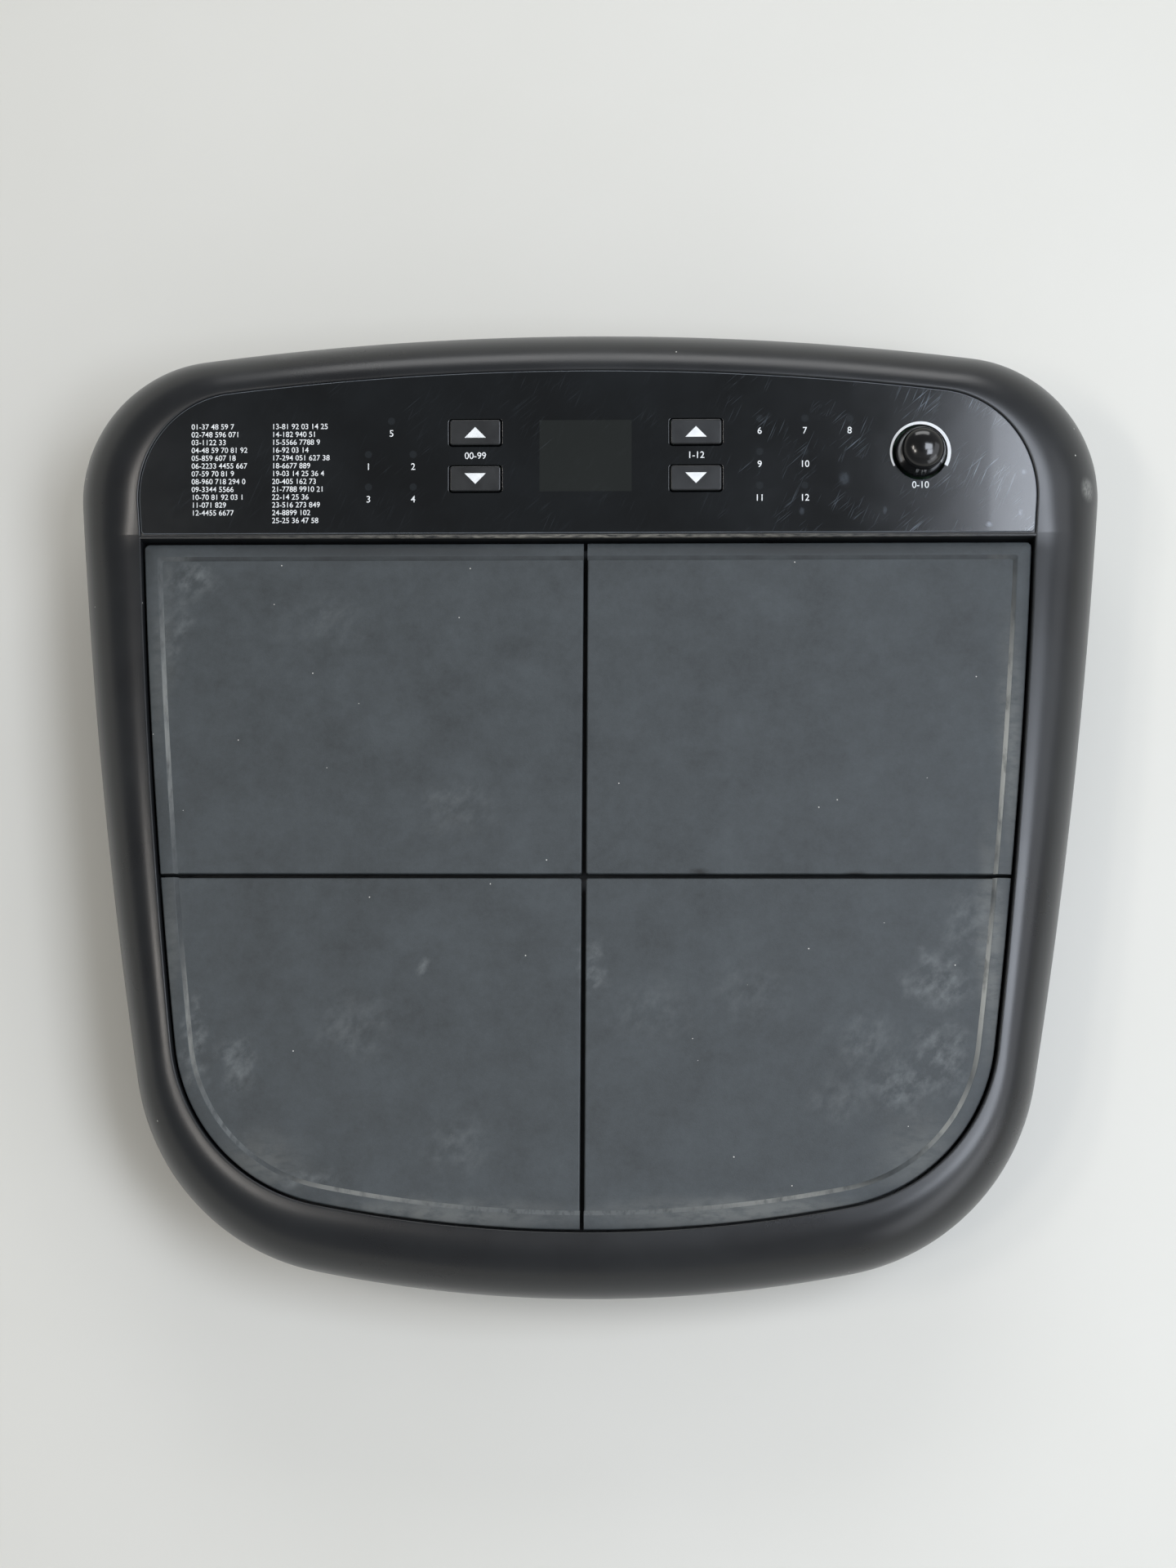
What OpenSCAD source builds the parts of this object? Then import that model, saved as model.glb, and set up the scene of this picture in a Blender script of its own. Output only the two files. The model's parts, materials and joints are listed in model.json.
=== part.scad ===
// Electronic drum pad: four rubber pads in one well, and a control console that rises behind them.
// Millimetres. X to the right, Y to the rear, Z up. The origin is on the table under the middle
// of the footprint.

/* [Housing outline] */
// Width across the rear corners
body_w = 323; // [265:1:395]
// Depth from the front bow to the rear bow
body_d = 301; // [285:1:365]
// How much narrower each side is at the front corners
front_taper = 25; // [21:1:30]
// Radius of the rear corners
rear_corner_r = 44; // [37:1:53]
// Radius of the front corners
front_corner_r = 70; // [58:1:84]
// Radius of the bowed rear edge
rear_bow_r = 940; // [780:10:1130]
// Radius of the bowed front edge
front_bow_r = 420; // [350:2:504]
// Radius of the bowed sides
side_bow_r = 1950; // [1620:10:2340]

/* [Heights] */
// Height of the feet below the bottom shell
foot_h = 4; // [3:0.5:5]
// Height of the line where the two shells meet
parting_z = 30; // [29:1:36]
// From the parting line up to the widest line
skirt_h = 2; // [1:0.5:4]
// From the widest line up to the rim around the pads
rim_rise = 20; // [19:1:26]
// Slope of the control panel in degrees
panel_slope = 12; // [8:0.5:14]

/* [Rim and deck] */
// Rim width at the sides
rim_side_w = 22.3; // [18.6:0.1:26.8]
// Rim width at the rear
rim_rear_w = 19.8; // [16.5:0.1:23.8]
// Rim width at the front
rim_front_w = 19.1; // [15.9:0.1:22.9]
// Rim width beside the front corners
rim_corner_w = 13.7; // [11.4:0.1:16.4]
// Radius of the deck's rear corners
deck_rear_corner_r = 32; // [27:1:38]
// Radius of the deck's front corners
deck_front_corner_r = 55; // [46:1:66]
// Radius of the deck's rear edge
deck_rear_bow_r = 950; // [790:10:1140]
// Radius of the deck's front edge
deck_front_bow_r = 410; // [342:2:492]
// Radius of the deck's sides
deck_side_bow_r = 2200; // [1830:10:2640]
// Flat land between the rolled rim and the deck opening
land_w = 0.8; // [0.5:0.1:1.2]
// Wall of the top shell
top_wall = 3; // [2.5:0.1:3.6]
// Wall of the bottom shell
bottom_wall = 2.5; // [2:0.1:3]
// Shadow step at the parting line
parting_step = 0.4; // [0.2:0.1:0.8]
// Radius of the bottom shell's lower edge
bottom_edge_r = 6; // [4:0.5:7]
// How far the bottom shell leans in below the parting line
bottom_draft = 3; // [2:0.5:4]

/* [Pads] */
// Wall around the pad well
well_wall = 2.2; // [1.8:0.1:2.8]
// Gap between a pad and the well
pad_gap = 0.7; // [0.5:0.1:1]
// Gap between two pads, and between the rear pads and the sill
cross_gap = 1.2; // [0.8:0.1:2]
// Depth of the rear pads
rear_pad_d = 104; // [87:1:115]
// Top of the pad border below the rim
pad_drop = 1.6; // [1:0.1:2.4]
// Width of the raised border
border_w = 5.5; // [4:0.5:7]
// Height of the raised border
border_h = 0.6; // [0.4:0.1:1]
// Thickness of the rubber skin
skin_t = 4.1; // [3.4:0.1:5]
// Thickness of the steel plate
plate_t = 1.2; // [1:0.1:1.5]
// Thickness of the foam bed
foam_t = 6.5; // [5.5:0.1:7.8]
// Thickness of the tray below the pads
tray_t = 2.5; // [2:0.1:3]
// Radius of the piezo disc
piezo_r = 13.5; // [10:0.5:17.5]
// Radius of the opening in the foam around the piezo disc
foam_hole_r = 22; // [19:0.5:27]

/* [Control panel] */
// Depth of the panel in plan
panel_d = 49.7; // [48:0.1:58]
// Width of the sill between the well and the panel
sill_w = 1.2; // [1:0.1:1.6]
// Thickness of the panel overlay
overlay_t = 0.8; // [0.5:0.1:1]
// Gap around the overlay
overlay_gap = 0.25; // [0.15:0.05:0.4]
// Button cap width
button_w = 15.8; // [12:0.2:19]
// Button cap depth
button_d = 7.8; // [6.4:0.2:9.4]
// Height of the button caps above the panel
button_rise = 0.9; // [0.6:0.1:1.4]
// Gap around each button cap
button_gap = 0.3; // [0.2:0.05:0.5]
// Distance of the button columns from the middle
button_x = 34.15; // [30:0.05:40]
// Distance of the lower buttons from the panel's front edge
button_low_y = 17.1; // [15:0.1:18]
// Distance between the two button rows
button_pitch = 14.3; // [12.5:0.1:16]
// Button travel
button_travel = 0.6; // [0.3:0.1:0.7]
// Display body width
display_w = 25; // [20:0.5:30]
// Display body depth
display_d = 19; // [15:0.5:23]
// Distance of the display from the panel's front edge
display_y = 24.2; // [22:0.1:27]
// Knob radius at its base
knob_r = 7.8; // [6.5:0.1:9.4]
// Knob height above the panel
knob_h = 11; // [9:0.5:13.2]
// Knob place across the panel
knob_x = 103.3; // [92:0.1:106]
// Knob place from the panel's front edge
knob_y = 24.9; // [22:0.1:28]
// Pot shaft radius
shaft_r = 3; // [2.5:0.1:3.6]
// Height of the control board's top below the panel
board_drop = 9.5; // [9:0.1:11.4]

/* [Rear sockets] */
// Width of the jack bay
bay_w = 224; // [186:1:228]
// Distance from one socket to the next
socket_pitch = 32; // [26:0.5:33]
// Height of the socket axes above the table
socket_z = 18; // [17.8:0.1:19]
// Distance of the jack plate from the rear bow
plate_set = 17.5; // [16:0.5:21]
// Thickness of the jack plate
jack_plate_t = 1.5; // [1.2:0.1:2]
// Bore of the plug sockets
jack_bore_r = 3.25; // [3.25:0.05:3.5]
// Thread radius of the plug sockets
jack_thread_r = 4.6; // [4.3:0.1:5.5]

/* [Mounting] */
// Distance between the stand inserts
stand_pitch = 100; // [75:1:120]
// Bore of the stand inserts
stand_bore_r = 2.5; // [2:0.1:3]
// Outer radius of the stand inserts
insert_r = 3.6; // [3.4:0.1:4.3]
// Length of the stand inserts
insert_l = 10; // [8:0.5:12]
// Radius of the feet
foot_r = 9; // [7.5:0.5:11]

/* [Hidden] */
$fn = 48;

// Points along each bow, corner and side of an outline
bow_steps = 6;
corner_steps = 8;
side_steps = 6;
upper_steps = 2;
// Where an outline passes the front edge of the panel, counted from the front middle
panel_index = bow_steps + corner_steps + side_steps;
ring_count = 2 * (2 * bow_steps + 2 * corner_steps + side_steps + upper_steps);

// Small overshoot for cuts
cut = 1;

// Housing levels
half_w = body_w / 2;
rear_y = body_d / 2;
front_y = -body_d / 2;
widest_z = parting_z + skirt_h;
rim_z = widest_z + rim_rise;
deck_rear_y = rear_y - rim_rear_w;
deck_front_y = front_y + rim_front_w;
panel_y = deck_rear_y - panel_d;
sill_y = panel_y - sill_w;
floor_z = foot_h + bottom_wall;

// Pad levels
skin_top = rim_z - pad_drop - border_h;
skin_z = skin_top - skin_t;
plate_z = skin_z - plate_t;
tray_z = plate_z - foam_t;
pad_rear_y = sill_y - cross_gap;
pad_split_y = pad_rear_y - rear_pad_d - cross_gap / 2;
front_pad_middle = 0.45;
plate_inset = 1.5;
foam_inset = 3;
piezo_t = 0.3;
ceramic_r = piezo_r - 3.5;
lead_r = 0.8;
lead_out = 5;
lead_hole_r = 3;
lead_run = 3;
lead_bend = 2;

// Panel levels, measured along the panel's normal
overlay_top = -0.1;
pocket_n = overlay_top - overlay_t;
deck_under = -top_wall * cos(panel_slope);
board_top = -board_drop;
board_t = 1.6;
board_under = board_top - board_t;
flange_gap = 0.3;
flange_t = 1;
flange_w = 1.3;
flange_top = deck_under - flange_gap;
switch_h = 3.3;
switch_play = 0.3;
switch_top = board_top + switch_h;
stem_end = switch_top + button_travel + switch_play;
stem_r = 2;
switch_side = 6.2;
plunger_r = 1.75;
plunger_l = 2;
running_gap = 0.05;
display_gap = 0.3;
led_r = 1.5;
led_gap = 0.3;
led_top = pocket_n - 0.3;
knob_gap = 0.6;
knob_low = -1.8;
knob_dome_r = knob_r - 1.2;
knob_dome_h = 4;
knob_foot = 1.2;
knob_bore_top = 6;
pot_side = 11;
pot_top = knob_low - 1.4;
pot_floor = 1;
shaft_play = 0.2;
header_h = 5;
header_d = 6;

// Control board and what stands on it, from the middle and from the panel's front edge
board_left = -78;
board_right = knob_x + 13;
board_front = 7;
board_rear = panel_d / cos(panel_slope) - 5;
board_edge = 4;
led_rise = 3.9;
led_rows_left = [31.2, 20.9, 10.8];
led_rows_right = [31.6, 21.3, 10.9];
led_left = [[-60.2, 0], [-67.4, 1], [-53.5, 1], [-67.4, 2], [-53.5, 2]];
led_right = [[53.8, 0], [67.7, 0], [81.5, 0], [53.8, 1], [67.7, 1], [53.8, 2], [67.7, 2]];
led_spots = concat(
    [for (s = led_left) [s.x, led_rows_left[s.y] + led_rise]],
    [for (s = led_right) [s.x, led_rows_right[s.y] + led_rise]]
);
button_up_y = button_low_y + button_pitch;
// Chips: place across, place up the panel, width, depth, height
chips = [[22, 30, 20, 20, 1.6], [50, 30, 12, 12, 1.2], [72, 30, 10, 5, 1.6], [-20, 32, 14, 8, 1.2]];
pad_header_y = 13;
pad_header_w = 26;
lead_pitch = 6;
ribbon_x = -45;
ribbon_w = 20;
ribbon_t = 1.2;
ribbon_y = 17;
ribbon_bend = 2.5;
ribbon_header_w = ribbon_w + 6;

// Rear sockets
plate_y = rear_y - plate_set - jack_plate_t;
bay_low = floor_z + 1;
bay_high = parting_z - 2.5;
bay_frame = 4;
plate_grip = 1.3;
slot_gap = 0.15;
jack_board_z = floor_z + 2;
jack_board_top = jack_board_z + board_t;
jack_board_d = 38;
jack_board_w = bay_w - 3;
jack_screw_in = 8;
// Depth and height at which the flat cable meets the jack board
ribbon_low = [plate_y - jack_board_d + header_d, jack_board_top + header_h];
jack_body = [18.4, 25];
jack_body_h = 2 * (socket_z - jack_board_top);
jack_reach = 6.5;
jack_depth = 23;
nut_r = 6.6;
nut_t = 2.2;
thread_gap = 0.1;
phones_x = -3 * socket_pitch;
left_x = -2 * socket_pitch;
right_x = -socket_pitch;
kick_x = 0;
data_x = socket_pitch;
dc_x = 2 * socket_pitch;
switch_x = 3 * socket_pitch;
data_r = 7.4;
data_ring_r = 6.85;
data_core_r = 5.9;
data_deep = 8;
dc_r = 4.4;
dc_bore_r = 3.1;
dc_pin_r = 1;
dc_deep = 9.5;
socket_nose = 0.5;
data_body = [20, 14];
dc_body = [11, 14];
switch_body = [20, 9];
low_body_h = jack_body_h - 2;
power_y = ribbon_low.x + 2;
capacitor_x = [44, 56, 68];
capacitor_r = 4;
capacitor_h = 11;
regulator_x = 84;
regulator_size = [10, 5];
regulator_h = 9;
slider_w = 6;
slider_deep = 3;
slider_h = 4.6;
slider_travel = 4;
slider_reach = 3;
slider_gap = 0.2;

// Fasteners
screw_gap = 0.02;
case_screw_r = 1.5;
case_head_r = 2.8;
case_head_h = 2;
case_screw_l = 13;
case_web = 4;
case_boss_r = 4.2;
case_index = [2, 10, 17, 26];
tray_screw_r = 1.25;
tray_head_r = 2.5;
tray_head_h = 1.8;
tray_screw_l = 9.5;
tray_boss_r = 3;
tray_boss_out = 3.4;
tray_ear_r = 4;
tray_index = [5, 14, 19];
tray_rear_x = 60;
board_screw_r = 1.25;
board_head_r = 2.4;
board_head_h = 1.6;
board_boss_r = 3.2;
hole_gap = 0.25;
boss_gap = 0.2;
insert_boss_r = insert_r + 2.6;
foot_rear_in = [38, 52];
foot_front_in = [40, 44];
foot_sink = 0.8;
foot_gap = 0.2;

// Outlines

// Sizes of an outline, in the order that arcs_of reads them
body_form = [
    half_w, half_w - front_taper, rear_y, front_y,
    rear_corner_r, front_corner_r, rear_bow_r, front_bow_r, side_bow_r
];
deck_form = [
    half_w - rim_side_w, half_w - front_taper - rim_corner_w, deck_rear_y, deck_front_y,
    deck_rear_corner_r, deck_front_corner_r, deck_rear_bow_r, deck_front_bow_r, deck_side_bow_r
];

// How far inside an end bow the centre of a corner lies that touches it from inside
function corner_drop(x, r, bow) = bow - sqrt((bow - r) ^ 2 - x ^ 2);

// Angle of the line from point a to point b
function heading(a, b) = atan2(b.y - a.y, b.x - a.x);

// The point at distance ra from a and rb from b, on the left of the way from b to a
function meeting(a, ra, b, rb) =
    let (d = norm(b - a))
    let (u = (b - a) / d)
    let (t = (ra ^ 2 - rb ^ 2 + d ^ 2) / (2 * d))
    a + t * u + sqrt(ra ^ 2 - t ^ 2) * [u.y, -u.x];

// The right half of an outline as tangent arcs from front to rear: centre, radius, angles, steps
function arcs_of(form, inset) =
    let (rear_c = [form[0] - form[4], form[2] - corner_drop(form[0] - form[4], form[4], form[6])])
    let (front_c = [form[1] - form[5], form[3] + corner_drop(form[1] - form[5], form[5], form[7])])
    let (side_c = meeting(rear_c, form[8] - form[4], front_c, form[8] - form[5]))
    let (front_m = [0, form[3] + form[7]])
    let (rear_m = [0, form[2] - form[6]])
    let (a_panel = asin((panel_y - side_c.y) / (form[8] - inset)))
    [
        [front_m, form[7] - inset, -90, heading(front_m, front_c), bow_steps],
        [front_c, form[5] - inset, heading(front_m, front_c), heading(side_c, front_c), corner_steps],
        [side_c, form[8] - inset, heading(side_c, front_c), a_panel, side_steps],
        [side_c, form[8] - inset, a_panel, heading(side_c, rear_c), upper_steps],
        [rear_c, form[4] - inset, heading(side_c, rear_c), heading(rear_m, rear_c), corner_steps],
        [rear_m, form[6] - inset, heading(rear_m, rear_c), 90, bow_steps]
    ];

// Points of a closed outline, moved inwards by inset
function ring(form, inset) =
    let (half = [
        for (a = arcs_of(form, inset), i = [0 : a[4] - 1])
            let (t = a[2] + (a[3] - a[2]) * i / a[4])
            a[0] + a[1] * [cos(t), sin(t)]
    ])
    concat(
        half,
        [[0, form[2] - inset]],
        [for (i = [len(half) - 1 : -1 : 1]) [-half[i].x, half[i].y]]
    );

// An outline lifted to height z
function at(points, z) = [for (p = points) [p.x, p.y, z]];

// Height of the rim and the panel at depth y
function top_z(y) = rim_z + max(0, (y - panel_y) * tan(panel_slope));

// One line of the rolled rim, from the land at 0 degrees to the widest line at 90
function roll(outer, angle, sink) = [
    for (i = [0 : ring_count - 1])
        let (p = land_ring[i] + (outer[i] - land_ring[i]) * sin(angle))
        [p.x, p.y, widest_z + (top_z(land_ring[i].y) - sink - widest_z) * cos(angle)]
];
roll_angles = [90 : -15 : 0];
land_ring = ring(deck_form, -land_w);
body_ring = ring(body_form, 0);
inner_ring = ring(body_form, top_wall);
tray_ring = ring(deck_form, -tray_boss_out);

// Both sides' points of an outline at the given places of its right half
function both_sides(points, index) = [for (i = index) each [points[i], points[ring_count - i]]];
case_spots = both_sides((land_ring + body_ring) / 2, case_index);
tray_spots = concat(
    both_sides(tray_ring, tray_index),
    [for (s = [-1, 1]) [s * tray_rear_x, panel_y + tray_boss_out]]
);
stand_spots = [for (x = [-1, 1], y = [-1, 1]) [x * stand_pitch / 2, y * stand_pitch / 2]];
foot_spots = [
    for (s = [-1, 1]) each [
        [s * (half_w - foot_rear_in.x), rear_y - foot_rear_in.y],
        [s * (half_w - front_taper - foot_front_in.x), front_y + foot_front_in.y]
    ]
];
board_spots = [
    for (x = [board_left + board_edge, board_right - board_edge])
        for (y = [board_front + board_edge, board_rear - board_edge])
            [x, y]
];
jack_board_spots = [
    for (s = [-1, 1]) each [
        [s * (jack_board_w / 2 - board_edge), plate_y - jack_board_d + board_edge],
        [s * 2.5 * socket_pitch, plate_y - jack_screw_in]
    ]
];

// Pads are numbered 1 and 2 at the rear, 3 and 4 at the front, from left to right
function pad_side(pad) = pad % 2 == 1 ? -1 : 1;
function pad_is_rear(pad) = pad < 3;
function pad_middle(pad) = [
    pad_side(pad) * (half_w - front_taper - rim_corner_w) / 2,
    pad_split_y + (pad_is_rear(pad) ? 0.5 : -front_pad_middle) * rear_pad_d
];
function lead_spot(pad) = pad_middle(pad) + [-pad_side(pad) * lead_out, 0];

// A point of the panel's own frame in the part's frame
function on_panel_point(x, y, n) = [
    x,
    panel_y + y * cos(panel_slope) - n * sin(panel_slope),
    rim_z + y * sin(panel_slope) + n * cos(panel_slope)
];

// Solid through closed rings of equal length, from the lowest to the highest
module loft(rings) {
    count = len(rings[0]);
    last = (len(rings) - 1) * count;
    sides = [
        for (j = [0 : len(rings) - 2], i = [0 : count - 1])
            let (next = (i + 1) % count)
            [j * count + i, (j + 1) * count + i, (j + 1) * count + next, j * count + next]
    ];
    front_cap = [
        for (i = [count - 1 : -1 : 0])
            if (i <= panel_index || i >= count - panel_index) last + i
    ];
    rear_cap = [for (i = [count - panel_index : -1 : panel_index]) last + i];
    polyhedron(
        [for (r = rings) each r],
        concat(sides, [[for (i = [0 : count - 1]) i], front_cap, rear_cap])
    );
}

// Round tube along a list of points
module tube(path, r) {
    sides = 8;
    last = len(path) - 1;
    function way(i) =
        let (a = path[max(i - 1, 0)], b = path[i], c = path[min(i + 1, last)])
        let (before = i == 0 ? [0, 0, 0] : (b - a) / norm(b - a))
        let (after = i == last ? [0, 0, 0] : (c - b) / norm(c - b))
        (before + after) / norm(before + after);
    rings = [
        for (i = [0 : last])
            let (t = way(i))
            let (u = cross(t, [1, 0, 0]) / norm(cross(t, [1, 0, 0])))
            let (v = cross(t, u))
            [for (k = [0 : sides - 1])
                path[i] + r * (u * cos(360 * k / sides) + v * sin(360 * k / sides))]
    ];
    faces = [
        for (j = [0 : last - 1], k = [0 : sides - 1])
            let (next = (k + 1) % sides)
            [j * sides + k, (j + 1) * sides + k, (j + 1) * sides + next, j * sides + next]
    ];
    polyhedron(
        [for (r = rings) each r],
        concat(faces, [
            [for (k = [0 : sides - 1]) k],
            [for (k = [sides - 1 : -1 : 0]) last * sides + k]
        ])
    );
}

// Moves children into the panel's frame: Y up the slope from its front edge, Z along its normal
module on_panel() {
    translate([0, panel_y, rim_z]) rotate([panel_slope, 0, 0]) children();
}

// Points children drawn along +Z to the rear, at the socket height
module socket_at(x, y) {
    translate([x, y, socket_z]) rotate([-90, 0, 0]) children();
}

// Box around a middle point in X and Y, between two heights
module block(middle, size, low, high) {
    translate([middle.x - size.x / 2, middle.y - size.y / 2, low])
        cube([size.x, size.y, high - low]);
}

// Cylinder between two heights
module post(spot, r, low, high) {
    translate([spot.x, spot.y, low]) cylinder(r = r, h = high - low);
}

// Plan of the pad well, moved inwards by inset
module well_plan(inset) {
    intersection() {
        polygon(ring(deck_form, inset));
        translate([-body_w, panel_y - (inset < 0 ? 0 : sill_w) - 2 * body_d])
            square([2 * body_w, 2 * body_d]);
    }
}

// Plan of the control panel, moved inwards by inset
module panel_plan(inset) {
    intersection() {
        polygon(ring(deck_form, inset));
        translate([-body_w, panel_y + inset]) square([2 * body_w, body_d]);
    }
}

// Part of the panel's plan between two levels along its normal
module panel_slab(inset, low, high) {
    intersection() {
        linear_extrude(2 * rim_z) panel_plan(inset);
        on_panel() block([0, 0], [2 * body_w, 2 * body_d], low, high);
    }
}

// Plan of one pad, moved inwards by inset
module pad_plan(pad, inset) {
    low = pad_is_rear(pad) ? pad_split_y + cross_gap / 2 + inset : 2 * front_y;
    high = (pad_is_rear(pad) ? pad_rear_y : pad_split_y - cross_gap / 2) - inset;
    side = cross_gap / 2 + inset;
    intersection() {
        polygon(ring(deck_form, pad_gap + inset));
        translate([pad_side(pad) > 0 ? side : -body_w, low]) square([body_w - side, high - low]);
    }
}

// Places of the four buttons, with the gap around the cap
module button_holes() {
    for (x = [-button_x, button_x], y = [button_low_y, button_up_y])
        block([x, y], [button_w + 2 * button_gap, button_d + 2 * button_gap], -board_drop, cut);
}

module knob_hole() {
    post([knob_x, knob_y], knob_r + knob_gap, -board_drop, cut);
}

// Shells

module top_structure() {
    translate([0, 0, tray_z]) linear_extrude(rim_rise) well_plan(-well_wall);
    for (p = tray_spots) post(p, tray_boss_r, tray_z, rim_z);
    for (p = case_spots) post(p, case_boss_r, parting_z + boss_gap, top_z(p.y));
    on_panel() for (p = board_spots) post(p, board_boss_r, board_top, 0);
}

module top_bores() {
    for (p = tray_spots)
        post(p, tray_screw_r + screw_gap, tray_z - cut, tray_z - tray_t + tray_screw_l + cut);
    for (p = case_spots)
        post(p, case_screw_r + screw_gap, parting_z - cut, parting_z - case_web + case_screw_l + cut);
    on_panel() for (p = board_spots)
        post(p, board_screw_r + screw_gap, board_top - cut, deck_under);
}

module panel_openings() {
    on_panel() {
        button_holes();
        knob_hole();
        block([0, display_y], [display_w, display_d] + 2 * [display_gap, display_gap], -board_drop, cut);
        for (p = led_spots) post(p, led_r + led_gap, -board_drop, cut);
    }
}

module top_housing() {
    color("#26282a") difference() {
        loft(concat(
            [at(ring(body_form, parting_step), parting_z)],
            [for (a = roll_angles) roll(body_ring, a, 0)]
        ));
        difference() {
            loft(concat(
                [at(ring(body_form, top_wall + parting_step), parting_z - cut)],
                [for (a = roll_angles) roll(inner_ring, a, top_wall)]
            ));
            top_structure();
        }
        translate([0, 0, tray_z - cut]) linear_extrude(rim_z) well_plan(0);
        panel_slab(0, pocket_n, rim_z);
        panel_openings();
        top_bores();
    }
}

// Rings of the bottom shell's rounded lower edge and leaning wall, set inwards by wall
function bottom_rings(wall, end_z) = concat(
    [
        for (a = [0 : 30 : 90])
            at(
                ring(body_form, wall + bottom_draft + bottom_edge_r * (1 - sin(a))),
                foot_h + wall + bottom_edge_r * (1 - cos(a))
            )
    ],
    [at(ring(body_form, wall + parting_step), end_z)]
);

module bottom_structure() {
    for (p = case_spots) post(p, case_boss_r, 0, parting_z);
    for (p = stand_spots) post(p, insert_boss_r, 0, foot_h + insert_l + bottom_wall);
    for (p = jack_board_spots) post(p, board_boss_r, 0, jack_board_z);
    translate([-bay_w / 2 - bay_frame, plate_y - bottom_wall, 0])
        cube([bay_w + 2 * bay_frame, body_d, parting_z]);
}

// The rear bay: the alcove for the plugs, the slot for the plate and the room behind it
module bay_cuts() {
    translate([-bay_w / 2, plate_y + jack_plate_t, bay_low])
        cube([bay_w, body_d, bay_high - bay_low]);
    translate([-bay_w / 2 - plate_grip - slot_gap, plate_y - slot_gap, bay_low - plate_grip - slot_gap])
        cube([bay_w + 2 * (plate_grip + slot_gap), jack_plate_t + 2 * slot_gap, parting_z]);
    translate([-bay_w / 2, plate_y - bottom_wall - cut, bay_low])
        cube([bay_w, bottom_wall + 2 * cut, parting_z]);
}

module bottom_housing() {
    color("#202224") difference() {
        loft(bottom_rings(0, parting_z));
        difference() {
            loft(bottom_rings(bottom_wall, parting_z + cut));
            bottom_structure();
        }
        bay_cuts();
        for (p = case_spots) {
            post(p, case_head_r + hole_gap, -cut, parting_z - case_web);
            post(p, case_screw_r + hole_gap, 0, parting_z + cut);
        }
        for (p = stand_spots) post(p, insert_r + screw_gap, -cut, foot_h + insert_l);
        for (p = foot_spots) post(p, foot_r + foot_gap, -cut, foot_h + foot_sink);
        for (p = jack_board_spots)
            post(p, board_screw_r + screw_gap, foot_h + cut, jack_board_z + cut);
    }
}

module pad_tray() {
    color("#3a3c3e") translate([0, 0, tray_z - tray_t]) linear_extrude(tray_t) difference() {
        union() {
            well_plan(-well_wall);
            for (p = tray_spots) translate(p) circle(tray_ear_r);
        }
        for (p = tray_spots) translate(p) circle(tray_screw_r + hole_gap);
        for (pad = [1 : 4]) translate(lead_spot(pad)) circle(lead_hole_r);
    }
}

module jack_plate() {
    color("#2b2d2f") difference() {
        translate([-bay_w / 2 - plate_grip, plate_y, bay_low - plate_grip])
            cube([bay_w + 2 * plate_grip, jack_plate_t, parting_z - boss_gap - bay_low + plate_grip]);
        for (x = [phones_x, left_x, right_x, kick_x])
            socket_at(x, plate_y - cut) cylinder(r = jack_thread_r + thread_gap, h = jack_plate_t + 2 * cut);
        socket_at(data_x, plate_y - cut) cylinder(r = data_r + hole_gap, h = jack_plate_t + 2 * cut);
        socket_at(dc_x, plate_y - cut) cylinder(r = dc_r + hole_gap, h = jack_plate_t + 2 * cut);
        slider_slot(plate_y - cut, jack_plate_t + 2 * cut);
    }
}

// Pads

module pad_skin(pad) {
    color("#45494c") translate([0, 0, skin_z]) {
        linear_extrude(skin_t) pad_plan(pad, 0);
        linear_extrude(skin_t + border_h) difference() {
            pad_plan(pad, 0);
            intersection() {
                polygon(ring(deck_form, pad_gap + border_w));
                translate([-body_w, pad_rear_y - border_w - 2 * body_d])
                    square([2 * body_w, 2 * body_d]);
            }
        }
    }
}

module pad_plate(pad) {
    color("#b8bcc0") translate([0, 0, plate_z]) linear_extrude(plate_t) pad_plan(pad, plate_inset);
}

module pad_piezo(pad) {
    color("#c9a24a") post(pad_middle(pad), piezo_r, plate_z - piezo_t, plate_z);
    color("#e8e4d8") post(pad_middle(pad), ceramic_r, plate_z - 2 * piezo_t, plate_z - piezo_t);
}

module pad_foam(pad) {
    color("#55524c") translate([0, 0, tray_z]) linear_extrude(foam_t) difference() {
        pad_plan(pad, foam_inset);
        translate(pad_middle(pad)) circle(foam_hole_r);
    }
}

// The lead drops from the disc through the tray and runs below it to the header
module pad_lead(pad) {
    start = lead_spot(pad);
    lane = pad_side(pad) * lead_pitch * (pad_is_rear(pad) ? 1.5 : 0.5);
    low = tray_z - tray_t - lead_run;
    pin = on_panel_point(lane, pad_header_y, board_under - header_h);
    below = on_panel_point(lane, pad_header_y, board_under - header_h - lead_run);
    color("#8a2a2a") tube([
        [start.x, start.y, plate_z - 2 * piezo_t],
        [start.x, start.y, low + lead_bend],
        [start.x, start.y + lead_bend, low],
        [(start.x + lane) / 2, (start.y + sill_y) / 2, low],
        [lane, sill_y, low],
        [lane, (sill_y + below.y) / 2, low],
        [lane, below.y, (low + below.z) / 2],
        below,
        pin
    ], lead_r);
}

// Panel

module panel_overlay() {
    color("#14171b") difference() {
        panel_slab(overlay_gap, pocket_n, overlay_top);
        on_panel() {
            button_holes();
            knob_hole();
        }
    }
}

module button_cap(x, y) {
    color("#3b3f44") on_panel() {
        block([x, y], [button_w, button_d], flange_top - flange_t, button_rise);
        block([x, y], [button_w, button_d] + 2 * [flange_w, flange_w], flange_top - flange_t, flange_top);
        post([x, y], stem_r, stem_end, flange_top);
    }
}

module switch_plunger(x, y) {
    color("#22242a") on_panel() post([x, y], plunger_r, stem_end - plunger_l, stem_end);
}

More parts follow.
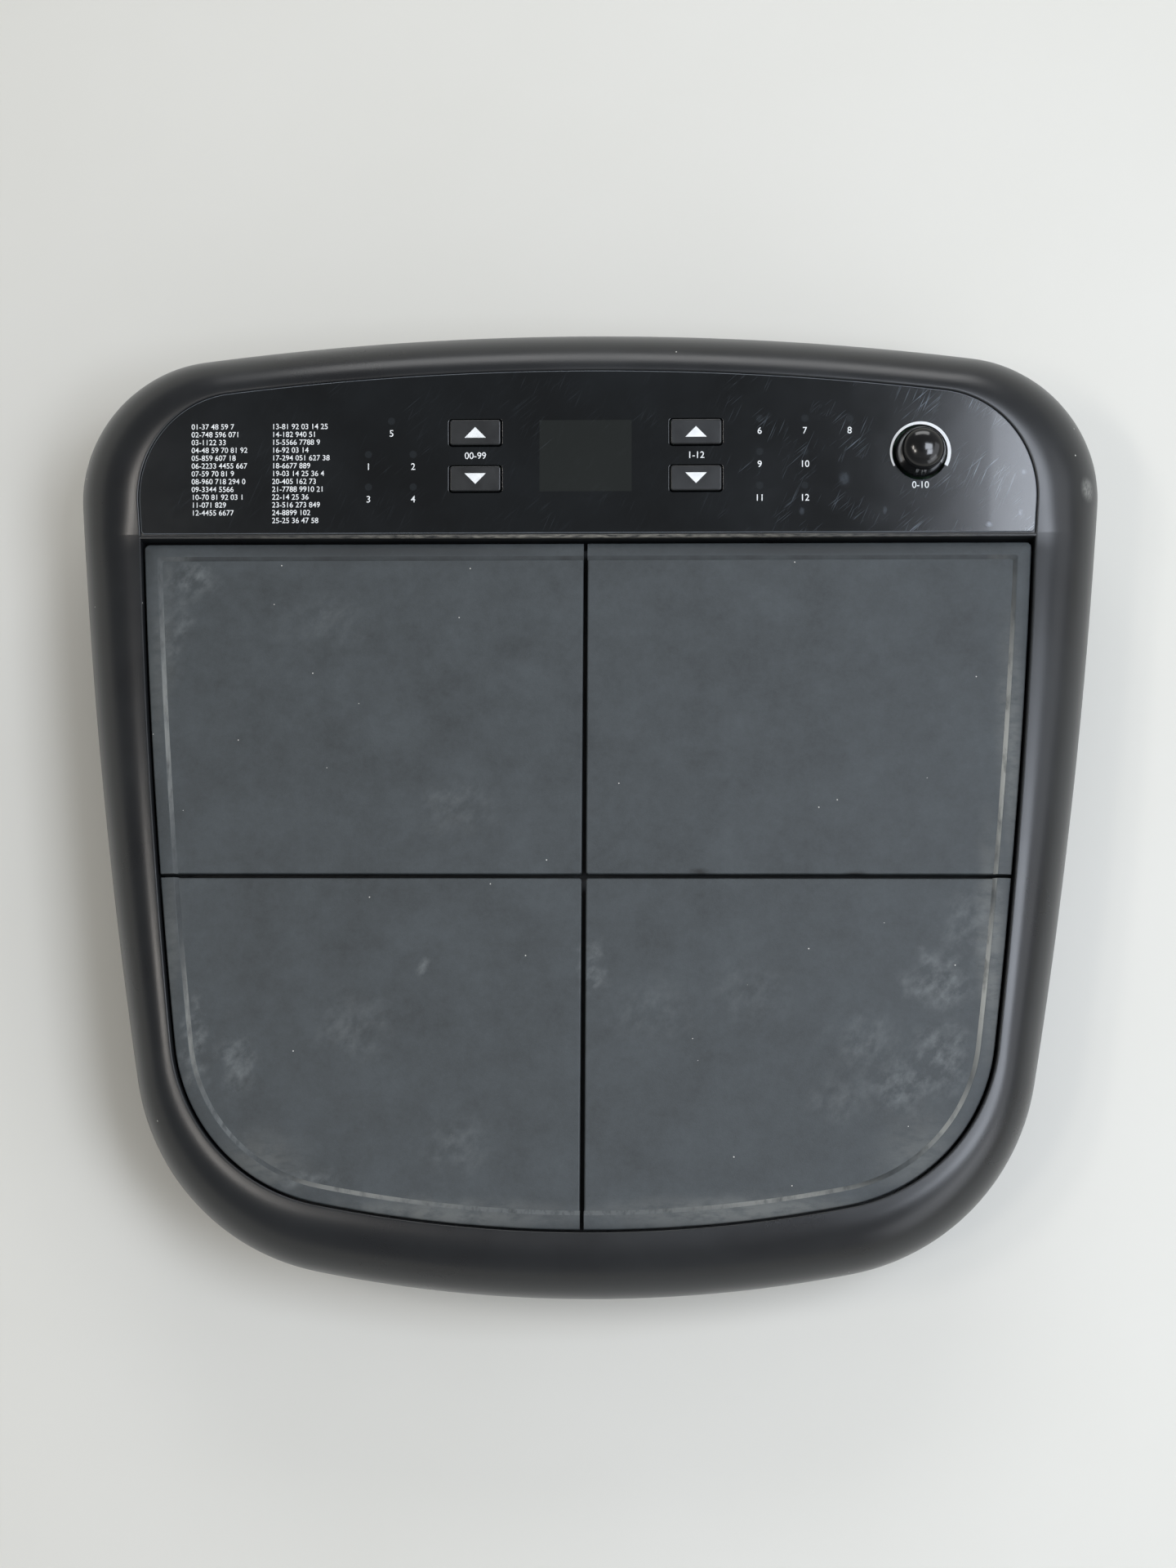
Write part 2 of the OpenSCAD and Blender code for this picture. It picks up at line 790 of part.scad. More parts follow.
module tact_switches() {
    color("#303236") on_panel() for (x = [-button_x, button_x], y = [button_low_y, button_up_y])
        difference() {
            block([x, y], [switch_side, switch_side], board_top, switch_top);
            post([x, y], plunger_r + running_gap, stem_end - plunger_l - button_travel - switch_play, cut);
        }
}

// Domed knob: a straight foot, a wall that leans in, and a round top
module volume_knob() {
    dome = [
        for (a = [0 : 10 : 90])
            [knob_dome_r * cos(a), knob_h - knob_dome_h * (1 - sin(a))]
    ];
    color("#101214") on_panel() translate([knob_x, knob_y, 0]) difference() {
        rotate_extrude() polygon(concat([[0, knob_low], [knob_r, knob_low], [knob_r, knob_foot]], dome));
        post([0, 0], shaft_r, knob_low - cut, knob_bore_top);
    }
}

module pot_shaft() {
    color("#c4c7ca") on_panel()
        post([knob_x, knob_y], shaft_r, board_top + pot_floor + shaft_play, knob_bore_top);
}

module pot_body() {
    color("#4a4d52") on_panel() difference() {
        block([knob_x, knob_y], [pot_side, pot_side], board_top, pot_top);
        post([knob_x, knob_y], shaft_r + running_gap, board_top + pot_floor, cut);
    }
}

module led_display() {
    color("#34382c") on_panel() block([0, display_y], [display_w, display_d], board_top, led_top);
}

module indicator_leds() {
    color("#c83c32") on_panel() for (p = led_spots) translate([p.x, p.y, 0]) {
        post([0, 0], led_r, board_top, led_top - led_r);
        translate([0, 0, led_top - led_r]) sphere(led_r);
    }
}

module control_board() {
    middle = [(board_left + board_right) / 2, (board_front + board_rear) / 2];
    color("#2f6b3c") on_panel() difference() {
        block(middle, [board_right - board_left, board_rear - board_front], board_under, board_top);
        for (p = board_spots) post(p, board_screw_r + hole_gap, board_under - cut, board_top + cut);
    }
}

module control_chips() {
    color("#1b1c1e") on_panel() for (c = chips)
        block([c[0], c[1]], [c[2], c[3]], board_under - c[4], board_under);
}

module pad_header() {
    color("#e6e2d2") on_panel()
        block([0, pad_header_y], [pad_header_w, header_d], board_under - header_h, board_under);
}

// Jack board and cable

module ribbon_headers() {
    color("#3a3a40") {
        on_panel()
            block([ribbon_x, ribbon_y], [ribbon_header_w, header_d], board_under - header_h, board_under);
        block([ribbon_x, ribbon_low.x], [ribbon_header_w, header_d], jack_board_top, ribbon_low.y);
    }
}

// Flat cable in two bends between the headers, drawn in Y and Z
module ribbon_cable() {
    high = on_panel_point(0, ribbon_y, board_under - header_h);
    span = high.z - ribbon_low.y;
    steps = 10;
    line = [
        for (i = [0 : steps])
            let (t = i / steps)
            [
                ribbon_low.x + (high.y - ribbon_low.x) * t + ribbon_bend * sin(360 * t),
                ribbon_low.y + span * t
            ]
    ];
    lift = ribbon_t / 2 * tan(panel_slope);
    front = [for (i = [0 : steps]) line[i] - [ribbon_t / 2, i == steps ? lift : 0]];
    rear = [for (i = [steps : -1 : 0]) line[i] + [ribbon_t / 2, i == steps ? lift : 0]];
    color("#9aa0a6") translate([ribbon_x - ribbon_w / 2, 0, 0]) rotate([90, 0, 90])
        linear_extrude(ribbon_w) polygon(concat(front, rear));
}

module jack_board() {
    color("#2f6b3c") difference() {
        block(
            [0, plate_y - jack_board_d / 2 - boss_gap], [jack_board_w, jack_board_d],
            jack_board_z, jack_board_top
        );
        for (p = jack_board_spots)
            post(p, board_screw_r + hole_gap, jack_board_z - cut, jack_board_top + cut);
    }
}

// Smoothing capacitors and the regulator
module power_parts() {
    color("#27364f") for (x = capacitor_x)
        post([x, power_y], capacitor_r, jack_board_top, jack_board_top + capacitor_h);
    color("#1b1c1e")
        block([regulator_x, power_y], regulator_size, jack_board_top, jack_board_top + regulator_h);
}

// Body of a socket or switch: it stands on the jack board against the plate
module socket_body(x, size, high) {
    block([x, plate_y - size.y / 2], size, jack_board_top, jack_board_top + high);
}

module plug_jack(x) {
    color("#1e2022") difference() {
        union() {
            socket_body(x, jack_body, jack_body_h);
            socket_at(x, plate_y - cut) cylinder(r = jack_thread_r, h = jack_plate_t + jack_reach + cut);
        }
        socket_at(x, plate_y - jack_depth)
            cylinder(r = jack_bore_r, h = jack_depth + jack_plate_t + jack_reach + cut);
    }
}

module jack_nuts() {
    color("#c4c7ca") for (x = [phones_x, left_x, right_x, kick_x])
        socket_at(x, plate_y + jack_plate_t) difference() {
            cylinder(r = nut_r, h = nut_t, $fn = 6);
            translate([0, 0, -cut]) cylinder(r = jack_thread_r + screw_gap, h = nut_t + 2 * cut);
        }
}

// Data socket: a round nose with a ring groove for the plug's shell
module data_socket() {
    nose = jack_plate_t + socket_nose;
    color("#18191b") difference() {
        union() {
            socket_body(data_x, data_body, jack_body_h);
            socket_at(data_x, plate_y - cut) cylinder(r = data_r, h = nose + cut);
        }
        socket_at(data_x, plate_y + nose - data_deep) difference() {
            cylinder(r = data_ring_r, h = data_deep + cut);
            translate([0, 0, -cut]) cylinder(r = data_core_r, h = data_deep + 3 * cut);
        }
    }
}

// Barrel inlet with its middle pin
module dc_inlet() {
    nose = jack_plate_t + socket_nose;
    color("#18191b") difference() {
        union() {
            socket_body(dc_x, dc_body, low_body_h);
            socket_at(dc_x, plate_y - cut) cylinder(r = dc_r, h = nose + cut);
        }
        socket_at(dc_x, plate_y + nose - dc_deep) difference() {
            cylinder(r = dc_bore_r, h = dc_deep + cut);
            translate([0, 0, -cut]) cylinder(r = dc_pin_r, h = dc_deep);
        }
    }
}

// Room that the slider sweeps, from depth y on
module slider_slot(y, length) {
    wide = slider_w + slider_travel + 2 * slider_gap;
    high = slider_h + 2 * slider_gap;
    translate([switch_x - wide / 2, y, socket_z - high / 2]) cube([wide, length, high]);
}

module power_switch() {
    color("#18191b") difference() {
        socket_body(switch_x, switch_body, low_body_h);
        slider_slot(plate_y - slider_deep, slider_deep + cut);
    }
}

// The slider rests at the off end of its slot
module power_slider() {
    color("#e8e8e6")
        translate([
            switch_x - (slider_w + slider_travel) / 2,
            plate_y - slider_deep + slider_gap,
            socket_z - slider_h / 2
        ])
        cube([slider_w, slider_deep - slider_gap + jack_plate_t + slider_reach, slider_h]);
}

// Fasteners, feet and inserts

// Screw with its head's seat at height z, driven upwards
module screw(spot, z, r, length, head_r, head_h) {
    post(spot, head_r, z - head_h, z);
    post(spot, r, z - head_h / 2, z + length);
}

module case_screws() {
    color("#8d9195") for (p = case_spots)
        screw(p, parting_z - case_web, case_screw_r, case_screw_l, case_head_r, case_head_h);
}

module tray_screws() {
    color("#8d9195") for (p = tray_spots)
        screw(p, tray_z - tray_t, tray_screw_r, tray_screw_l, tray_head_r, tray_head_h);
}

module board_screws() {
    color("#8d9195") {
        on_panel() for (p = board_spots)
            screw(p, board_under, board_screw_r, deck_under - board_under - cut, board_head_r, board_head_h);
        for (p = jack_board_spots) translate([0, 0, jack_board_top]) mirror([0, 0, 1])
            screw(p, 0, board_screw_r, jack_board_top - foot_h - 2 * cut, board_head_r, board_head_h);
    }
}

module mount_inserts() {
    color("#c9a24a") for (p = stand_spots) difference() {
        post(p, insert_r, foot_h, foot_h + insert_l);
        post(p, stand_bore_r, foot_h - cut, foot_h + insert_l + cut);
    }
}

module rubber_feet() {
    color("#1a1a1a") for (p = foot_spots) post(p, foot_r, 0, foot_h + foot_sink);
}

top_housing();
bottom_housing();
pad_tray();
panel_overlay();
jack_plate();
pad_skin(1);  // pad_skin_1
pad_skin(2);  // pad_skin_2
pad_skin(3);  // pad_skin_3
pad_skin(4);  // pad_skin_4
pad_plate(1);  // pad_plate_1
pad_plate(2);  // pad_plate_2
pad_plate(3);  // pad_plate_3
pad_plate(4);  // pad_plate_4
pad_piezo(1);  // pad_piezo_1
pad_piezo(2);  // pad_piezo_2
pad_piezo(3);  // pad_piezo_3
pad_piezo(4);  // pad_piezo_4
pad_foam(1);  // pad_foam_1
pad_foam(2);  // pad_foam_2
pad_foam(3);  // pad_foam_3
pad_foam(4);  // pad_foam_4
pad_lead(1);  // pad_lead_1
pad_lead(2);  // pad_lead_2
pad_lead(3);  // pad_lead_3
pad_lead(4);  // pad_lead_4
button_cap(-button_x, button_up_y);  // value_up_button
button_cap(-button_x, button_low_y);  // value_down_button
button_cap(button_x, button_up_y);  // select_up_button
button_cap(button_x, button_low_y);  // select_down_button
switch_plunger(-button_x, button_up_y);  // value_up_plunger
switch_plunger(-button_x, button_low_y);  // value_down_plunger
switch_plunger(button_x, button_up_y);  // select_up_plunger
switch_plunger(button_x, button_low_y);  // select_down_plunger
tact_switches();
volume_knob();
pot_shaft();
pot_body();
led_display();
indicator_leds();
control_board();
control_chips();
pad_header();
ribbon_cable();
ribbon_headers();
jack_board();
power_parts();
plug_jack(kick_x);  // kick_jack
plug_jack(left_x);  // left_output_jack
plug_jack(right_x);  // right_output_jack
plug_jack(phones_x);  // phones_jack
jack_nuts();
data_socket();
dc_inlet();
power_switch();
power_slider();
case_screws();
tray_screws();
board_screws();
mount_inserts();
rubber_feet();
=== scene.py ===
"""Looks of a table-top electronic drum pad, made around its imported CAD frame.

Sizes in the classes are millimetres in the part's own frame: X to the player's right, Y to the rear, and Z up
from the table. Meshes are made in metres.
"""

import json
import logging
import math
from dataclasses import dataclass, field
from enum import Enum
from typing import Any, Iterable, Sequence

import bmesh
import bpy
import numpy as np
from bpy.types import Material, Mesh, Node, NodeSocket, NodeTree, Object
from mathutils import Matrix, Vector


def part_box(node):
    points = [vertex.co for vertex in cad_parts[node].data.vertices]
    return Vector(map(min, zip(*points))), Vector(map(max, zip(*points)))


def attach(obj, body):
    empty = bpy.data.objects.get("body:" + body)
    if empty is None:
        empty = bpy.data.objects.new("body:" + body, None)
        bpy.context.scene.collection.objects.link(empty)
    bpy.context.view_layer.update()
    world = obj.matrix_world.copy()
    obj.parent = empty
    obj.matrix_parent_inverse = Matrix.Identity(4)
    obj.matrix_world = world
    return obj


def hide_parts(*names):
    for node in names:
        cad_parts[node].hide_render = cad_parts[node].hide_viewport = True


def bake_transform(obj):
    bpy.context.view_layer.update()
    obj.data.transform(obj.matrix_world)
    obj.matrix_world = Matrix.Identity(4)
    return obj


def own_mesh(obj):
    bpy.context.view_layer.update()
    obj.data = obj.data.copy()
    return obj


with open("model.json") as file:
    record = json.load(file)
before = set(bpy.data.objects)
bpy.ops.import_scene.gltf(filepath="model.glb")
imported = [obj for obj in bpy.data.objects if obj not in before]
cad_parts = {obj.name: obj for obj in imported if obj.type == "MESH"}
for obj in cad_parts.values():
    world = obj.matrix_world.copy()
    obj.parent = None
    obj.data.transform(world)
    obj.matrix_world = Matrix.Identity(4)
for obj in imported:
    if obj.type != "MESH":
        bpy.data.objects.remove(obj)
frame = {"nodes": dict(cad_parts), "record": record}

LOG = logging.getLogger("drum_pad")
MM = 0.001
CHASSIS = "chassis"
# Steps of a quarter round along an edge
ROUND_STEPS = 5
# Angle above which an edge between smooth faces stays sharp
CREASE_DEG = 50.0
# Tolerance when two places are compared, in millimetres
TINY = 1e-6
# Half depth of a mark on a sheet, which takes in all of the sheet
SHEET_REACH = 5.0
# Heights about which the wear, the painted shade and the painted sheen of the pads' fields and borders lie
FIELD_Z, BORDER_Z = 49.8, 50.0


class Side(Enum):
    """Left or right half of the pad, as the sign of X."""

    LEFT = -1
    RIGHT = 1


class Row(Enum):
    """Rear or front row of strike pads, as the first pad number of the row."""

    REAR = 1
    FRONT = 3


class Arrow(Enum):
    """Which way a printed arrow points, as the sign of Y."""

    UP = 1
    DOWN = -1


def linear(code: str) -> tuple[float, float, float, float]:
    """Turns an sRGB hex colour to linear RGBA.

    Args:
        code: Colour such as "#1c1d1f".

    Returns:
        Red, green, blue and an alpha of one.
    """
    parts = [int(code[i:i + 2], 16) / 255 for i in (1, 3, 5)]
    red, green, blue = [p / 12.92 if p <= 0.04045 else ((p + 0.055) / 1.055) ** 2.4 for p in parts]
    return red, green, blue, 1.0


def per_metre(size_mm: float) -> float:
    """Gives the texture scale at which one feature of a pattern is size_mm wide."""
    return 1 / (size_mm * MM)


def add_node(
    tree: NodeTree,
    kind: str,
    settings: dict[str, Any] | None = None,
    inputs: dict[str | int, Any] | None = None,
    out: str | int = 0,
) -> NodeSocket:
    """Adds a node with its settings and links.

    Args:
        tree: Node tree that takes the node.
        kind: Blender's type name of the node, after its first part "ShaderNode".
        settings: Node properties by name.
        inputs: Values by input, where an output socket is linked and anything else is set.
        out: The output to give back.

    Returns:
        That output of the new node.
    """
    node = tree.nodes.new(f"ShaderNode{kind}")
    for name, value in (settings or {}).items():
        setattr(node, name, value)
    for name, value in (inputs or {}).items():
        if isinstance(value, NodeSocket):
            tree.links.new(value, node.inputs[name])
        else:
            node.inputs[name].default_value = value
    return node.outputs[out]


@dataclass(frozen=True)
class Patch:
    """Soft-edged spot, such as one of wear, painted shade or painted sheen: its middle, its half sizes in
    millimetres, and how strong it is.
    """

    middle: tuple[float, float, float]
    half: tuple[float, float, float]
    strength: float = 1.0

    def around(self, tree: NodeTree, place: NodeSocket) -> NodeSocket:
        """Moves and scales a position so that the patch reaches one from the origin.

        Args:
            tree: Node tree that takes the node.
            place: Position in metres.

        Returns:
            Socket with the new position.
        """
        shrink = [1 / (h * MM) for h in self.half]
        shift = [-m * MM * s for m, s in zip(self.middle, shrink)]
        return add_node(tree, "VectorMath", {"operation": "MULTIPLY_ADD"}, {0: place, 1: shrink, 2: shift})


def spots(
    z: float, reach: float, rows: Iterable[tuple[float, float, float, float, float]]
) -> tuple[Patch, ...]:
    """Makes patches at one height from rows of X, Y, half width, half depth and strength."""
    return tuple(Patch((x, y, z), (wide, deep, reach), strength) for x, y, wide, deep, strength in rows)


@dataclass(frozen=True)
class ColourLayer:
    """One layer of colour, for wear, dust, painted shade or painted sheen: its colour, where it lies, the
    streaks that break it up and how its edges wander.
    """

    colour: str
    patches: tuple[Patch, ...]
    streak_mm: tuple[float, float] = (1.5, 4.0)
    turn_deg: float = -35.0
    cover: float = 0.5
    wander_mm: float = 0.0


def patch_mask(tree: NodeTree, place: NodeSocket, patches: Sequence[Patch], soft: float) -> NodeSocket:
    """Makes a mask that is high inside the patches.

    Args:
        tree: Node tree that takes the nodes.
        place: Position in metres.
        patches: Spots to show.
        soft: Share of each half size over which the spot fades.

    Returns:
        Socket with the mask.
    """
    mask = None
    for patch in patches:
        reach = add_node(tree, "VectorMath", {"operation": "LENGTH"}, {0: patch.around(tree, place)}, "Value")
        spot = add_node(tree, "MapRange", {"interpolation_type": "SMOOTHSTEP"}, {
            "Value": reach, "From Min": 1 - soft, "From Max": 1.0, "To Min": patch.strength, "To Max": 0.0,
        })
        mask = spot if mask is None else add_node(tree, "Math", {"operation": "MAXIMUM"}, {0: mask, 1: spot})
    return mask


@dataclass(frozen=True)
class Finish:
    """A real material and how its surface was made, as a procedural shader.

    The tone noise drifts the colour and the roughness, and the grain noise is the surface's own texture.
    A grain that is too fine to show, such as a mould's, is drawn as coarse as it needs to show in a render.
    """

    name: str
    colour: str
    tone: str
    tone_mm: float
    roughness: float
    spread: float
    grain_mm: float
    grain_depth_mm: float
    metallic: float = 0.0
    ior: float = 1.5
    coat: float = 0.0
    stretch: tuple[float, float, float] = (1.0, 1.0, 1.0)
    tone_detail: float = 8.0
    tone_break: float = 0.6
    tone_range: tuple[float, float] = (0.3, 0.7)
    grain_detail: float = 3.0

    def make(self) -> Material:
        """Makes the material.

        Returns:
            The material, with its nodes.
        """
        material = bpy.data.materials.new(self.name)
        material.use_nodes = True
        tree = material.node_tree
        shader = tree.nodes["Principled BSDF"]
        shader.inputs["Metallic"].default_value = self.metallic
        shader.inputs["IOR"].default_value = self.ior
        shader.inputs["Coat Weight"].default_value = self.coat
        self.paint(tree, shader)
        return material

    def paint(self, tree: NodeTree, shader: Node) -> None:
        """Links the colour, the roughness and the grain to the shader.

        Args:
            tree: The material's node tree.
            shader: Its principled shader.
        """
        place = add_node(tree, "TexCoord", out="Object")
        drift = add_node(tree, "TexNoise", inputs={
            "Vector": place, "Scale": per_metre(self.tone_mm), "Detail": self.tone_detail,
            "Roughness": self.tone_break,
        })
        least, most = self.tone_range
        tone = add_node(tree, "MapRange", inputs={"Value": drift, "From Min": least, "From Max": most})
        tree.links.new(self.colours(tree, place, tone), shader.inputs["Base Color"])
        tree.links.new(self.gloss(tree, tone), shader.inputs["Roughness"])
        tree.links.new(self.grain(tree, place), shader.inputs["Normal"])

    def colours(self, tree: NodeTree, place: NodeSocket, tone: NodeSocket) -> NodeSocket:
        """Makes the colour.

        Args:
            tree: The material's node tree.
            place: Position in metres.
            tone: Slow noise, from 0 to 1.

        Returns:
            Socket with the colour.
        """
        return add_node(tree, "Mix", {"data_type": "RGBA"}, {
            0: tone, 6: linear(self.colour), 7: linear(self.tone),
        }, 2)

    def gloss(self, tree: NodeTree, tone: NodeSocket) -> NodeSocket:
        """Makes the roughness.

        Args:
            tree: The material's node tree.
            tone: Slow noise, from 0 to 1.

        Returns:
            Socket with the roughness.
        """
        return add_node(tree, "MapRange", inputs={
            "Value": tone, "To Min": self.roughness - self.spread, "To Max": self.roughness + self.spread,
        })

    def grain(self, tree: NodeTree, place: NodeSocket) -> NodeSocket:
        """Makes the surface's fine texture as a bump.

        Args:
            tree: The material's node tree.
            place: Position in metres.

        Returns:
            Socket with the bumped normal.
        """
        drawn = add_node(tree, "Mapping", inputs={"Vector": place, "Scale": self.stretch})
        noise = add_node(tree, "TexNoise", inputs={
            "Vector": drawn, "Scale": per_metre(self.grain_mm), "Detail": self.grain_detail,
        })
        return add_node(tree, "Bump", inputs={
            "Height": noise, "Strength": 1.0, "Distance": self.grain_depth_mm * MM,
        })


@dataclass(frozen=True)
class LayeredFinish(Finish):
    """A finish with layers of wear, dust, painted shade and painted sheen, and with dust specks.

    A layer begins where its streak noise passes bare_noise, less cover_noise times its cover, and is full
    where the noise is fade_noise higher.
    """

    wear: tuple[ColourLayer, ...] = ()
    dust: str = "#b9b9b4"
    dust_mm: float = 6.0
    dust_r: float = 0.03
    streak_detail: float = 4.0
    streak_break: float = 0.6
    bare_noise: float = 0.7
    cover_noise: float = 0.6
    fade_noise: float = 0.3
    wander_scale_mm: float = 7.0
    wander_detail: float = 3.0

    def wandered(self, tree: NodeTree, place: NodeSocket, reach_mm: float) -> NodeSocket:
        """Shifts a position by slow noise.

        Args:
            tree: The material's node tree.
            place: Position in metres.
            reach_mm: How far the noise carries it.

        Returns:
            Socket with the shifted position.
        """
        slow = add_node(tree, "TexNoise", inputs={
            "Vector": place, "Scale": per_metre(self.wander_scale_mm), "Detail": self.wander_detail,
        }, out="Color")
        # The noise swings around a half
        swing = add_node(tree, "VectorMath", {"operation": "SUBTRACT"}, {0: slow, 1: (0.5, 0.5, 0.5)})
        reach = reach_mm * MM
        return add_node(tree, "VectorMath", {"operation": "MULTIPLY_ADD"}, {
            0: swing, 1: (reach, reach, 0), 2: place,
        })

    def share(self, tree: NodeTree, place: NodeSocket, wear: ColourLayer) -> NodeSocket:
        """Makes the mask of one layer.

        Args:
            tree: The material's node tree.
            place: Position in metres.
            wear: The layer.

        Returns:
            Socket with the mask.
        """
        wide, long = wear.streak_mm
        drawn = add_node(tree, "Mapping", {"vector_type": "TEXTURE"}, {
            "Vector": place, "Rotation": (0, 0, math.radians(wear.turn_deg)),
            "Scale": (wide * MM, long * MM, wide * MM),
        })
        broken = add_node(tree, "TexNoise", inputs={
            "Vector": drawn, "Scale": 1.0, "Detail": self.streak_detail, "Roughness": self.streak_break,
        })
        bare = self.bare_noise - self.cover_noise * wear.cover
        # Streaks break up every layer, wear and painted shade alike
        rubbed = add_node(tree, "MapRange", inputs={
            "Value": broken, "From Min": bare, "From Max": bare + self.fade_noise,
        })
        if wear.wander_mm:
            place = self.wandered(tree, place, wear.wander_mm)
        return add_node(tree, "Math", {"operation": "MULTIPLY"}, {
            0: patch_mask(tree, place, wear.patches, 1.0), 1: rubbed,
        })

    def colours(self, tree: NodeTree, place: NodeSocket, tone: NodeSocket) -> NodeSocket:
        """Adds the layers, of wear, dust, painted shade and painted sheen, and the dust specks to the plain
        colour.

        Args:
            tree: The material's node tree.
            place: Position in metres.
            tone: Slow noise, from 0 to 1.

        Returns:
            Socket with the colour.
        """
        colour = super().colours(tree, place, tone)
        for wear in self.wear:
            colour = add_node(tree, "Mix", {"data_type": "RGBA"}, {
                0: self.share(tree, place, wear), 6: colour, 7: linear(wear.colour),
            }, 2)
        apart = add_node(tree, "TexVoronoi", inputs={"Vector": place, "Scale": per_metre(self.dust_mm)})
        speck = add_node(tree, "Math", {"operation": "LESS_THAN"}, {0: apart, 1: self.dust_r})
        return add_node(tree, "Mix", {"data_type": "RGBA"}, {0: speck, 6: colour, 7: linear(self.dust)}, 2)


@dataclass(frozen=True)
class StudioPaper(Finish):
    """Paper that fades to an even tone away from the object, as a seamless studio floor does."""

    far_tone: str = "#dbdbd5"
    near_mm: float = 420.0
    far_mm: float = 1100.0

    def make(self) -> Material:
        """Makes the material, and shows the even tone only to the camera and in reflections.

        Returns:
            The material, with its nodes.
        """
        material = super().make()
        tree = material.node_tree
        place = add_node(tree, "TexCoord", out="Object")
        reach = add_node(tree, "VectorMath", {"operation": "LENGTH"}, {0: place}, "Value")
        away = add_node(tree, "MapRange", {"interpolation_type": "SMOOTHSTEP"}, {
            "Value": reach, "From Min": self.near_mm * MM, "From Max": self.far_mm * MM,
        })
        seen = add_node(tree, "LightPath", out="Is Camera Ray")
        rays = seen.node.outputs
        for kind in ("Is Glossy Ray", "Is Transmission Ray"):
            seen = add_node(tree, "Math", {"operation": "MAXIMUM"}, {0: seen, 1: rays[kind]})
        share = add_node(tree, "Math", {"operation": "MULTIPLY"}, {0: away, 1: seen})
        even = add_node(tree, "Emission", inputs={"Color": linear(self.far_tone), "Strength": 1.0})
        paper = tree.nodes["Principled BSDF"].outputs[0]
        both = add_node(tree, "MixShader", inputs={0: share, 1: paper, 2: even})
        tree.links.new(both, tree.nodes["Material Output"].inputs["Surface"])
        return material


